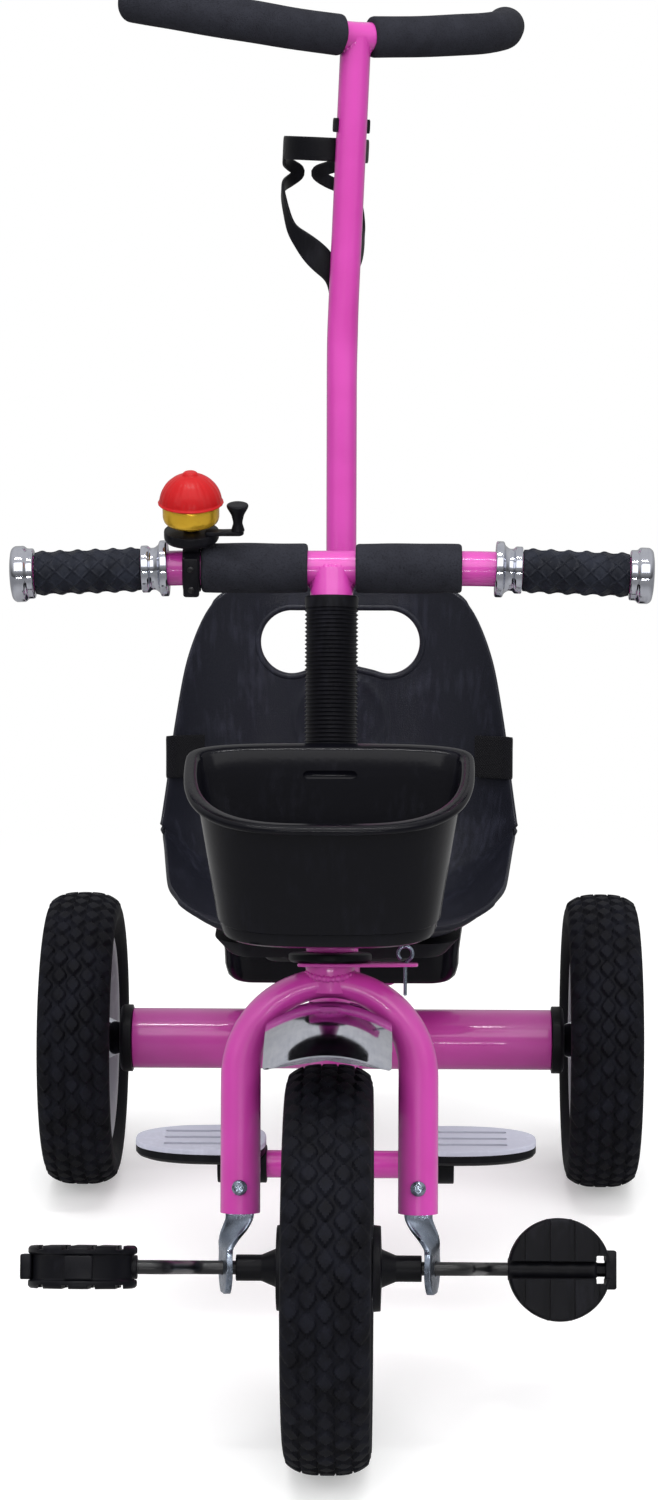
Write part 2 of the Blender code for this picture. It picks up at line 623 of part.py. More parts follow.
def fender():
    """Short bright mudguard: an arched strip bent about the axle, waisted where the fork spans it."""
    radius = FORK_CROWN + FORK_TUBE_RADIUS - 2.0 * FORK_TUBE_RADIUS * (1.0 - CROWN_SQUEEZE) - 5.0 * GAP
    half_width = 0.0390
    waist = 0.0125
    crown = 0.0125
    thickness = 0.0012
    angles = np.radians([-angle for angle in reversed(FENDER_ANGLES)] + FENDER_ANGLES)
    across = np.linspace(-1.0, 1.0, 7)
    rings = []
    for angle in angles:
        width = waist if abs(math.degrees(angle)) < 0.5 * (FENDER_ANGLES[0] + FENDER_ANGLES[1]) else half_width
        ring = []
        for skin, order in ((0.0, across), (thickness, across[::-1])):
            for share in order:
                x = width * share
                r = radius - skin - crown * (x / half_width) ** 2
                ring.append((x, -r * math.sin(angle), r * math.cos(angle)))
        rings.append(ring)
    add_object("fender", lofted("fender", rings), CHROME, STEERING)


def head_cups():
    """Lower bearing cover and upper bearing cover of the head tube."""
    bore = STEERER_RADIUS + GAP
    low = LOCK_PLATE_START + LOCK_PLATE_THICKNESS + GAP
    high = HEAD_BOTTOM - GAP
    profile = [(bore, low), (CUP_RADIUS - 0.002, low), (CUP_RADIUS, low + 0.0015), (CUP_RADIUS, high - 0.001),
               (CUP_RADIUS - 0.0015, high), (bore, high)]
    add_object("head_cover_lower", turned("head_cover_lower", profile[::-1], 20), BLACK_PLASTIC, STEERING)
    low = HEAD_TOP + GAP
    high = HEAD_TOP + CUP_HEIGHT
    profile = [(bore, low), (0.0185, low), (0.0185, high - 0.0015), (0.0165, high), (bore, high)]
    add_object("head_cover_upper", turned("head_cover_upper", profile[::-1], 20), BLACK_PLASTIC, STEERING)


def bar_side(side):
    """Matrix of one raised end of the bar: origin at the kink, +Z outwards along the tube."""
    tilt = Matrix.Rotation(side * BAR_DROOP, 4, "Y")
    return Matrix.Translation((side * BAR_KINK, 0.0, BAR_HEIGHT)) @ tilt @ turned_along_x(side)


def handlebar():
    """Bar and stem welded into a T; the stem is bored to slide over the steerer."""
    ends = []
    reach = (BAR_CAP_END - 0.004 - BAR_KINK)
    for side in (-1, 1):
        ends.append((side * (BAR_KINK + reach * math.cos(BAR_DROOP)), 0.0,
                     BAR_HEIGHT - reach * math.sin(BAR_DROOP)))
    path = [ends[0], (-BAR_KINK, 0.0, BAR_HEIGHT), (BAR_KINK, 0.0, BAR_HEIGHT), ends[1]]
    body = tube_along("handlebar", path, BAR_RADIUS, PINK, STEERING, sides=16)
    bore = STEERER_RADIUS + GAP
    bore_top = HEAD_TOP + 0.036
    profile = [(0.0, BAR_HEIGHT), (STEM_RADIUS, BAR_HEIGHT), (STEM_RADIUS, STEM_BOTTOM), (bore, STEM_BOTTOM),
               (bore, bore_top), (0.0, bore_top)]
    stem = add_object("handlebar_stem", turned("handlebar_stem", profile, 20), PINK, STEERING)
    cut(body, stem, "UNION")


def stem_sleeve():
    """Ribbed tube round the stem with a smooth collar at its top."""
    bore = STEM_RADIUS + 2.5 * GAP
    low = STEM_BOTTOM + GAP
    collar = 0.008
    pitch = (SLEEVE_TOP - collar - low) / SLEEVE_RIBS
    profile = [(bore, low)]
    for rib in range(SLEEVE_RIBS):
        profile.append((SLEEVE_RADIUS - 0.0012, low + rib * pitch))
        profile.append((SLEEVE_RADIUS, low + (rib + 0.5) * pitch))
    profile += [(SLEEVE_RADIUS - 0.0012, SLEEVE_TOP - collar), (SLEEVE_RADIUS, SLEEVE_TOP - collar + 0.0005),
                (SLEEVE_RADIUS, SLEEVE_TOP - 0.001), (SLEEVE_RADIUS - 0.001, SLEEVE_TOP), (bore, SLEEVE_TOP)]
    add_object("stem_sleeve", turned("stem_sleeve", profile[::-1], 12), BLACK_PLASTIC, STEERING, smooth=60.0)


def foam_profile(low, high, radius, bore):
    """Tube of foam with rounded rims."""
    edge = 0.0035
    return [(bore, high), (radius - edge, high), (radius - 0.25 * edge, high - 0.4 * edge), (radius, high - edge),
            (radius, low + edge), (radius - 0.25 * edge, low + 0.4 * edge), (radius - edge, low), (bore, low)]


def bar_dressing(side):
    """Foam, inner collar, grip and end cap of one half of the bar."""
    word = "left" if side < 0 else "right"
    bore = clear_bore(BAR_RADIUS, 16)
    profile = foam_profile(BAR_FOAM_START, BAR_FOAM_END, FOAM_RADIUS, bore)
    place = Matrix.Translation((0.0, 0.0, BAR_HEIGHT)) @ turned_along_x(side)
    add_object("bar_foam_" + word, turned("bar_foam", profile, 16), BLACK_FOAM, STEERING, place)
    along = bar_side(side)
    start = COLLAR_START - BAR_KINK
    end = GRIP_START - BAR_KINK - GAP
    flange = 0.0050
    profile = [(bore, end), (0.0148, end), (0.0148, end - 0.0045), (0.0132, end - 0.0055),
               (0.0132, start + flange + 0.003), (CAP_RADIUS, start + flange), (CAP_RADIUS, start + 0.001),
               (CAP_RADIUS - 0.001, start), (bore, start)]
    add_object("grip_collar_" + word, turned("grip_collar", profile, 16), CHROME, STEERING, along)
    start = GRIP_START - BAR_KINK
    end = GRIP_END - BAR_KINK
    bumps = 5
    bore = clear_bore(BAR_RADIUS, 12)
    profile = [(bore, end), (GRIP_RADIUS - 0.0006, end)]
    for bump in range(bumps):
        high = end - (bump + 0.25) * (end - start) / bumps
        mid = end - (bump + 0.5) * (end - start) / bumps
        low = end - (bump + 1.0) * (end - start) / bumps
        profile += [(GRIP_RADIUS + 0.0007, high), (GRIP_RADIUS + 0.0007, mid), (GRIP_RADIUS - 0.0006, low)]
    profile.append((bore, start))
    add_object("grip_" + word, turned("grip", profile, 12), RUBBER, STEERING, along)
    start = GRIP_END - BAR_KINK + GAP
    end = BAR_CAP_END - BAR_KINK
    bore = clear_bore(BAR_RADIUS, 16)
    closed = end - 0.003
    profile = [(0.0, end), (0.0120, end), (CAP_RADIUS - 0.002, end - 0.001), (CAP_RADIUS, end - 0.003),
               (CAP_RADIUS, start + 0.0055), (0.0158, start + 0.0040), (0.0158, start), (bore, start),
               (bore, closed), (0.0, closed)]
    add_object("bar_cap_" + word, turned("bar_cap", profile, 16), CHROME, STEERING, along)


def bell():
    """Bell on the bar, leaning forwards: clamp with base, brass cup, ribbed red cap and thumb lever."""
    upright = Matrix.Translation((BELL_X, 0.0, BAR_HEIGHT)) @ Matrix.Rotation(RAKE + BELL_LEAN, 4, "X")
    base = empty("bell_place", STEERING, upright)
    ring = [(BAR_RADIUS + GAP, BELL_CLAMP_WIDTH / 2.0), (0.0150, BELL_CLAMP_WIDTH / 2.0),
            (0.0150, -BELL_CLAMP_WIDTH / 2.0), (BAR_RADIUS + GAP, -BELL_CLAMP_WIDTH / 2.0)]
    body = add_object("bell_clamp", turned("bell_clamp", ring, 16), BLACK_PLASTIC, base, ALONG_X)
    low, high = BELL_BASE_LOW, BELL_BASE_LOW + 0.0070
    disc_profile = [(0.0, high), (0.0170, high), (0.0172, high - 0.001), (0.0172, low + 0.002), (0.0160, low),
                    (0.0, low)]
    disc = add_object("bell_base_disc", turned("disc", disc_profile, 16), BLACK_PLASTIC, base,
                      Matrix.Translation((0.0, 0.0, 0.0)))
    cut(body, disc, "UNION")
    lug = add_object("bell_clamp_lug", block("lug", (-0.0050, -0.0170, -0.0160), (0.0050, -0.0118, 0.0120)),
                     BLACK_PLASTIC, base)
    stalk = add_object("bell_stalk", block("stalk", (-0.0050, -0.0100, 0.0135), (0.0050, 0.0100, low + 0.001)),
                       BLACK_PLASTIC, base)
    cut(body, stalk, "UNION")
    cut(body, lug, "UNION")
    pivot_hole = add_object("bell_pivot_hole", turned("hole", [(0.0, 0.03), (0.0019, 0.03), (0.0019, high - 0.003),
                                                               (0.0, high - 0.003)], 12), BLACK_PLASTIC, base,
                            Matrix.Translation((0.0120, -0.0085, 0.0)))
    cut(body, pivot_hole)
    lever_low = high + GAP
    lever_high = lever_low + 0.0026
    cup_low = lever_high + 0.0012
    cup_high = cup_low + 0.0135
    post = high + GAP
    cup_profile = [(0.0, cup_high), (0.0175, cup_high), (0.0177, cup_high - 0.002), (0.0177, cup_low + 0.004),
                   (0.0158, cup_low + 0.0008), (0.0135, cup_low), (0.0060, cup_low), (0.0055, post), (0.0, post)]
    add_object("bell_cup", turned("bell_cup", cup_profile, 16), GOLD, base)
    cap_low = cup_high + GAP
    top = cap_low + 0.0205
    cap_profile = [(0.0, top), (0.0040, top), (0.0052, top - 0.0030), (0.0100, top - 0.0045),
                   (0.0155, top - 0.0085), (0.0185, top - 0.0135), (0.0207, cap_low + 0.002), (0.0207, cap_low),
                   (0.0, cap_low)]
    cap_mesh = turned("bell_cap", cap_profile, 20)
    for index, vertex in enumerate(cap_mesh.vertices):
        radius = math.hypot(vertex.co.x, vertex.co.y)
        turn = round(math.atan2(vertex.co.y, vertex.co.x) / (2.0 * math.pi / 20))
        if radius > 0.006 and turn % 2:
            vertex.co.x *= 0.965
            vertex.co.y *= 0.965
    add_object("bell_cap", cap_mesh, RED, base)
    lever_place = empty("bell_lever_pivot", base, Matrix.Translation((0.0120, -0.0085, 0.0)))
    arm_outline = [(-0.0030, -0.0035), (0.0060, -0.0040), (0.0200, -0.0035), (0.0215, 0.0), (0.0200, 0.0035),
                   (0.0060, 0.0030), (-0.0030, 0.0032)]
    lever = add_object("bell_lever", extruded("bell_lever", arm_outline, lever_low, lever_high), BLACK_PLASTIC,
                       lever_place)
    knob_profile = [(0.0, lever_high + 0.0175), (0.0066, lever_high + 0.0175), (0.0070, lever_high + 0.0155),
                    (0.0034, lever_high + 0.0100), (0.0028, lever_high + 0.0050), (0.0045, lever_high - 0.0005),
                    (0.0, lever_high - 0.0005)]
    knob = add_object("bell_lever_knob", turned("knob", knob_profile, 10), BLACK_PLASTIC, lever_place,
                      Matrix.Translation((0.0175, 0.0, 0.0)))
    cut(lever, knob, "UNION")
    pin = add_object("bell_lever_pin", turned("pin", [(0.0, lever_low + 0.001), (0.0016, lever_low + 0.001),
                                                      (0.0016, high - 0.0025), (0.0, high - 0.0025)], 10),
                     BLACK_PLASTIC, lever_place)
    cut(lever, pin, "UNION")


def basket_outline(half_width, back, depth, offset=0.0):
    """D-shaped outline: a nearly flat back with round corners and a curved front."""
    points = []
    count = 26
    back_share = 0.022
    half_width -= offset
    centre = back - back_share
    rear = back_share - offset
    front = depth - back_share - offset
    for index in range(count):
        turn = 2.0 * math.pi * (index + 0.5) / count
        c, s = math.cos(turn), math.sin(turn)
        power = 0.36 if s > 0 else 0.74
        x = half_width * math.copysign(abs(c) ** (0.50 if s > 0 else 0.60), c)
        y = centre + (rear * abs(s) ** power if s > 0 else -front * abs(s) ** power)
        points.append((x, y))
    return points


def axis_y(height):
    """Working-frame Y of the steering axis at a height."""
    return (height - FRONT_WHEEL_RADIUS) * math.tan(RAKE)


def front_basket():
    """Open moulded basket with a rolled lip, its rim lower in front than behind."""
    rim_back_y = axis_y(BASKET_RIM_BACK_Z) - BASKET_BACK_OFFSET
    floor_back_y = axis_y(BASKET_FLOOR_Z) - BASKET_BACK_OFFSET
    slope = math.tan(BASKET_RIM_SLOPE)

    def level(share, offset=0.0, drop=0.0, lift=0.0):
        """Outline at a share of the height, 0 at the floor and 1 at the rim."""
        half = BASKET_FLOOR_HALF + share * (BASKET_RIM_HALF - BASKET_FLOOR_HALF)
        back = floor_back_y + share * (rim_back_y - floor_back_y)
        depth = BASKET_FLOOR_DEPTH + share * (BASKET_RIM_DEPTH - BASKET_FLOOR_DEPTH)
        height = BASKET_FLOOR_Z + share * (BASKET_RIM_BACK_Z - BASKET_FLOOR_Z) + lift
        return [(x, y, height - share * slope * (back - y) - drop)
                for x, y in basket_outline(half, back, depth, offset)]

    rings = [level(0.0, 0.010), level(0.0, 0.003, 0.0, 0.002), level(0.0, 0.0, 0.0, 0.010), level(0.5),
             level(0.90), level(0.93, -BASKET_LIP + 0.002), level(0.95, -BASKET_LIP), level(0.99, -BASKET_LIP),
             level(1.0, -BASKET_LIP + 0.002), level(1.0, 0.0), level(0.97, BASKET_WALL),
             level(0.5, BASKET_WALL), level(0.0, BASKET_WALL, 0.0, 0.012),
             level(0.0, BASKET_WALL + 0.004, 0.0, BASKET_WALL + 0.001),
             level(0.0, 0.014, 0.0, BASKET_WALL)]
    add_object("front_basket", lofted("front_basket", rings), BLACK_PLASTIC, STEERING_UPRIGHT)


def basket_bracket():
    """Ring round the steerer with a tongue that lies against the basket's back wall."""
    low = HEAD_TOP + CUP_HEIGHT + GAP
    high = low + BRACKET_RING_HEIGHT
    bore = STEERER_RADIUS + GAP
    body = add_object("basket_bracket", turned("basket_bracket", [(bore, high), (0.0165, high), (0.0165, low),
                                                                  (bore, low)], 18), BLACK_PLASTIC, STEERING)
    reach = BASKET_BACK_OFFSET * math.cos(RAKE) - GAP
    tongue = add_object("basket_tongue", block("tongue", (-0.012, -reach, low), (0.012, -0.012, high)),
                        BLACK_PLASTIC, STEERING)
    cut(body, tongue, "UNION")
    plate = add_object("basket_hook", block("hook", (-0.022, -reach, low - 0.020),
                                            (0.022, -reach + 0.003, high + 0.012)), BLACK_PLASTIC, STEERING)
    cut(body, plate, "UNION")


def lock_pin():
    """Wire clip through the lock plate, with its round loop above."""
    place = Matrix.Translation((LOCK_PIN_X, 0.0, LOCK_PLATE_START + LOCK_PLATE_THICKNESS))
    loop_height = LOCK_LOOP_RADIUS + LOCK_WIRE_RADIUS + GAP
    turns = np.linspace(math.radians(-66.0), math.radians(230.0), 12)
    loop = [(LOCK_LOOP_RADIUS * math.cos(turn), 0.0, loop_height + LOCK_LOOP_RADIUS * math.sin(turn))
            for turn in turns]
    leg = [(0.0, 0.0, -0.020), (0.0, 0.0, 0.0)]
    tube_along("lock_pin", leg + loop, LOCK_WIRE_RADIUS, CHROME, empty("lock_pin_place", STEERING, place), sides=6)


def coped_by(piece, radius, matrix, parent, length=0.2):
    """Cut a piece back to a clearance round a neighbouring tube."""
    tool = add_object(piece.name + "_cope_" + str(len(piece.modifiers)),
                      turned("cope", [(0.0, length), (radius + GAP, length), (radius + GAP, -length),
                                      (0.0, -length)], 32), PINK, parent, matrix)
    cut(piece, tool)


def frame_tubes():
    """Head tube, curved spine, rear axle tube, footrest bar and the handle socket."""
    bore = STEERER_RADIUS + GAP
    profile = [(bore, HEAD_TOP), (HEAD_TUBE_RADIUS, HEAD_TOP), (HEAD_TUBE_RADIUS, HEAD_BOTTOM),
               (bore, HEAD_BOTTOM)]
    add_object("head_tube", turned("head_tube", profile, 20), PINK, STEERING)
    mid = (HEAD_BOTTOM + HEAD_TOP) / 2.0 - 0.002
    start = (0.0, mid * math.sin(RAKE), FRONT_WHEEL_RADIUS + mid * math.cos(RAKE))
    bend_end = (0.0, SPINE_BEND_Y, SPINE_LOW_Z)
    leaving = (0.0, start[1] + SPINE_TOP_REACH_Y, start[2] - SPINE_TOP_DROP_Z)
    arriving = (0.0, SPINE_BEND_Y - SPINE_LOW_REACH_Y, SPINE_LOW_Z)
    rear = (0.0, WHEELBASE, REAR_WHEEL_RADIUS)
    path = bezier(start, leaving, arriving, bend_end, 10) + [rear]
    spine = tube_along("spine_tube", path, SPINE_RADIUS, PINK, TRICYCLE, sides=12)
    coped_by(spine, HEAD_TUBE_RADIUS, Matrix.Translation((0.0, 0.0, HEAD_TOP)), STEERING)
    rear_place = Matrix.Translation((0.0, WHEELBASE, REAR_WHEEL_RADIUS)) @ ALONG_X
    coped_by(spine, REAR_TUBE_RADIUS, rear_place, TRICYCLE)
    bar_place = Matrix.Translation((0.0, FOOTREST_Y, FOOTREST_Z)) @ ALONG_X
    coped_by(spine, FOOTREST_BAR_RADIUS, bar_place, TRICYCLE)
    half = REAR_TUBE_HALF
    tube_bore = REAR_TUBE_RADIUS - TUBE_WALL
    profile = [(tube_bore, half), (REAR_TUBE_RADIUS, half), (REAR_TUBE_RADIUS, -half), (tube_bore, -half)]
    add_object("rear_axle_tube", turned("rear_axle_tube", profile, 20), PINK, TRICYCLE, rear_place)
    half = FOOTREST_INNER + 0.030
    profile = [(0.0, half), (FOOTREST_BAR_RADIUS, half), (FOOTREST_BAR_RADIUS, -half), (0.0, -half)]
    add_object("footrest_bar", turned("footrest_bar", profile, 20), PINK, TRICYCLE, bar_place)
    length = (SOCKET_TOP - SOCKET_FOOT) / math.cos(POLE_LEAN)
    bore = POLE_RADIUS + GAP
    profile = [(bore, length), (SOCKET_RADIUS, length), (SOCKET_RADIUS, -0.020), (0.0, -0.020), (0.0, 0.010),
               (bore, 0.010)]
    socket = add_object("handle_socket", turned("handle_socket", profile, 20), PINK, SOCKET_AXIS)
    spine_slope = math.atan2(SPINE_LOW_Z - REAR_WHEEL_RADIUS, WHEELBASE - SPINE_BEND_Y)
    spine_place = (Matrix.Translation((0.0, SPINE_BEND_Y, SPINE_LOW_Z))
                   @ Matrix.Rotation(math.radians(-90.0) - spine_slope, 4, "X"))
    coped_by(socket, SPINE_RADIUS, spine_place, TRICYCLE, 0.25)
    return spine_place


def seat_post(spine_place):
    """Short post from the spine with the plate that the seat is bolted to."""
    plate_top = SEAT_FLOOR_Z - SEAT_BASE_HEIGHT - GAP
    plate_low = plate_top - 0.004
    profile = [(0.0, plate_low + 0.001), (0.0135, plate_low + 0.001), (0.0135, SPINE_LOW_Z - 0.010),
               (0.0, SPINE_LOW_Z - 0.010)]
    body = add_object("seat_post", turned("seat_post", profile, 24), PINK, TRICYCLE,
                      Matrix.Translation((0.0, SEAT_POST_Y, 0.0)))
    plate = add_object("seat_post_plate",
                       extruded("plate", rounded_box_outline(SEAT_PLATE_HALF_X, SEAT_PLATE_HALF_Y, 0.010, 2), plate_low,
                                plate_top), PINK,
                       TRICYCLE, Matrix.Translation((0.0, SEAT_POST_Y, 0.0)))
    cut(body, plate, "UNION")
    coped_by(body, SPINE_RADIUS, spine_place, TRICYCLE, 0.25)


def seat_shape(along, across):
    """Point of the seat's top skin.

    along runs 0 at the front lip to 1 at the top of the back and across runs -1 to 1. The
    middle line is a pan, a bend and a back that leans; the sides rise into rims, and the
    width follows the moulded outline.
    """
    stations = np.array([0.0, 0.06, 0.20, 0.40, 0.50, 0.60, 0.72, 0.84, 0.93, 1.0])
    behind = np.array([0.154, 0.069, 0.043, 0.027, 0.016, 0.007, 0.0015, 0.0])
    line_y = np.concatenate([[SEAT_FRONT_Y, SEAT_FRONT_Y + 0.012], SEAT_BACK_Y - behind])
    floor = SEAT_FLOOR_Z + SEAT_WALL + GAP
    line_z = np.array([SEAT_FRONT_Z, SEAT_FRONT_Z + 0.001, floor, floor, floor + 0.014,
                       floor + 0.048, floor + 0.105, floor + 0.165, floor + 0.205, SEAT_TOP_Z])
    width = np.array([0.093, 0.103, 0.116, 0.124, 0.1265, 0.1255, 0.119, 0.109, 0.093, 0.062])
    width = width * SEAT_HALF_WIDTH / 0.1265
    rise = np.array([0.004, 0.010, 0.036, 0.050, 0.050, 0.042, 0.032, 0.024, 0.016, 0.006])
    y = np.interp(along, stations, line_y)
    z = np.interp(along, stations, line_z)
    half = np.interp(along, stations, width)
    lift = np.interp(along, stations, rise)
    share = abs(across)
    wall = max(0.0, (share - 0.45) / 0.55) ** 2.2
    ramp = min(max((along - 0.34) / 0.34, 0.0), 1.0)
    lean = ramp * ramp * (3.0 - 2.0 * ramp)
    up = Vector((0.0, -math.sin(lean * math.radians(80.0)), math.cos(lean * math.radians(80.0))))
    return Vector((half * across, y, z)) + up * (lift * wall)


def seat():
    """Moulded bucket seat shell with a kidney-shaped hand hole, on a ribbed base block."""
    rows = 18
    columns = 14
    along = [row / (rows - 1) for row in range(rows)]
    across = [2.0 * column / (columns - 1) - 1.0 for column in range(columns)]
    top = [[seat_shape(v, u * (1.0 - 0.25 * max(0.0, v - 0.93) / 0.07)) for u in across] for v in along]
    work = bmesh.new()
    skin = [[work.verts.new(point) for point in row] for row in top]
    normals = []
    for r in range(rows):
        line = []
        for c in range(columns):
            d_along = top[min(r + 1, rows - 1)][c] - top[max(r - 1, 0)][c]
            d_across = top[r][min(c + 1, columns - 1)] - top[r][max(c - 1, 0)]
            line.append(d_across.cross(d_along).normalized())
        normals.append(line)
    back = [[work.verts.new(top[r][c] - normals[r][c] * SEAT_WALL) for c in range(columns)] for r in range(rows)]
    for r in range(rows - 1):
        for c in range(columns - 1):
            work.faces.new((skin[r][c], skin[r][c + 1], skin[r + 1][c + 1], skin[r + 1][c]))
            work.faces.new((back[r][c], back[r + 1][c], back[r + 1][c + 1], back[r][c + 1]))
    border = ([(0, c) for c in range(columns)] + [(r, columns - 1) for r in range(1, rows)]
              + [(rows - 1, c) for c in range(columns - 2, -1, -1)] + [(r, 0) for r in range(rows - 2, 0, -1)])
    for (r0, c0), (r1, c1) in zip(border, border[1:] + border[:1]):
        work.faces.new((skin[r0][c0], back[r0][c0], back[r1][c1], skin[r1][c1]))
    body = add_object("seat_shell", mesh_from("seat_shell", work), BLACK_PLASTIC, TRICYCLE, smooth=50.0)
    lobe = HAND_HOLE_LOBE
    hole_outline = (arc((HAND_HOLE_HALF, 0.0), lobe, math.radians(-75.0), math.radians(95.0), 7)
                    + arc((-HAND_HOLE_HALF, 0.0), lobe, math.radians(85.0), math.radians(255.0), 7)
                    + [(0.0, -0.53 * lobe)])
    hole = add_object("seat_hand_hole", extruded("hand_hole", hole_outline, -0.05, 0.05), BLACK_PLASTIC, TRICYCLE,
                      Matrix.Translation((0.0, HAND_HOLE_Y, HAND_HOLE_Z)) @ Matrix.Rotation(math.radians(90.0), 4, "X"))
    cut(body, hole)
    base_low = SEAT_FLOOR_Z - SEAT_BASE_HEIGHT
    outline = rounded_box_outline(0.085, 0.050, 0.020)
    taper = [(x * 0.9, y * 0.9, base_low) for x, y in outline]
    top_ring = [(x, y, SEAT_FLOOR_Z) for x, y in outline]
    add_object("seat_base", lofted("seat_base", [taper, top_ring]), BLACK_PLASTIC, TRICYCLE,
               Matrix.Translation((0.0, SEAT_POST_Y, 0.0)))


def seat_normal(along, across):
    """Outward direction of the seat's top skin, from its neighbouring points."""
    d_along = seat_shape(along + 0.01, across) - seat_shape(along - 0.01, across)
    d_across = seat_shape(along, across + 0.01) - seat_shape(along, across - 0.01)
    return d_across.cross(d_along).normalized()


def seat_belt():
    """Flat webbing strap round the back of the seat, its ends folded over the side rims."""
    height = BELT_ALONG
    half = BELT_HALF
    thickness = BELT_THICKNESS
    clear = 0.0035
    tip = seat_shape(height, -1.0)
    inward = seat_normal(height, -1.0)
    beyond = (tip - seat_shape(height, -0.98)).normalized()
    path = [seat_shape(height, -0.84) + seat_normal(height, -0.84) * clear,
            tip + inward * clear + beyond * 0.001,
            tip - inward * SEAT_WALL / 2.0 + beyond * (clear + 0.002),
            tip - inward * (SEAT_WALL + clear)]
    shares = [0.84, 1.0, 1.0, 1.0]
    for share in (0.93, 0.75, 0.5, 0.25, 0.0):
        path.append(seat_shape(height, -share) - seat_normal(height, -share) * (SEAT_WALL + clear))
        shares.append(share)
    path += [Vector((-point.x, point.y, point.z)) for point in reversed(path[:-1])]
    shares += shares[-2::-1]
    rings = []
    for index, centre in enumerate(path):
        share = shares[index]
        up = (seat_shape(height + 0.05, share) - seat_shape(height - 0.05, share))
        up.x = 0.0
        up.normalize()
        ahead = path[min(index + 1, len(path) - 1)]
        behind = path[max(index - 1, 0)]
        out = (ahead - behind).normalized().cross(up).normalized() * (thickness / 2.0)
        rings.append([centre + up * half + out, centre + up * half - out, centre - up * half - out,
                      centre - up * half + out])
    add_object("seat_belt", lofted("seat_belt", rings), WEBBING, TRICYCLE)


def rear_box():
    """Open luggage box over the rear axle, with the shelf bracket that carries it."""
    centre_y = BOX_FRONT_Y + BOX_DEPTH / 2.0
    half_y = BOX_DEPTH / 2.0
    taper = 0.90

    def level(share, offset, height):
        scale = taper + (1.0 - taper) * share
        outline = rounded_box_outline(BOX_HALF * scale - offset, half_y * scale - offset, 0.022 - min(offset, 0.01), 4)
        return [(x, y, height) for x, y in outline]

    top = BOX_FLOOR_Z + BOX_HEIGHT
    rings = [level(0.0, 0.010, BOX_FLOOR_Z), level(0.0, 0.003, BOX_FLOOR_Z + 0.0025),
             level(0.05, 0.0, BOX_FLOOR_Z + 0.010), level(0.92, 0.003, top - 0.008), level(0.94, -0.0, top - 0.007),
             level(1.0, -0.0, top), level(1.0, 0.003 + BOX_WALL, top),
             level(0.05, BOX_WALL, BOX_FLOOR_Z + 0.012), level(0.0, 0.012, BOX_FLOOR_Z + BOX_WALL)]
    add_object("rear_box", lofted("rear_box", rings), BLACK_PLASTIC, TRICYCLE,
               Matrix.Translation((0.0, centre_y, 0.0)))
    shelf_top = BOX_FLOOR_Z - GAP
    shelf_low = shelf_top - SHELF_THICKNESS
    shelf_outline = rounded_box_outline(SHELF_HALF_X, SHELF_HALF_Y, 0.008, 2)
    body = add_object("box_shelf", extruded("box_shelf", shelf_outline, shelf_low, shelf_top), PINK, TRICYCLE,
                      Matrix.Translation((0.0, centre_y - SHELF_FORWARD, 0.0)))
    post = add_object("box_post", block("post", (-BOX_POST_HALF_X, WHEELBASE - BOX_POST_HALF_Y, REAR_WHEEL_RADIUS),
                                        (BOX_POST_HALF_X, WHEELBASE + BOX_POST_HALF_Y, shelf_low + 0.001)), PINK,
                      TRICYCLE)
    cut(body, post, "UNION")
    coped_by(body, REAR_TUBE_RADIUS, Matrix.Translation((0.0, WHEELBASE, REAR_WHEEL_RADIUS)) @ ALONG_X, TRICYCLE)


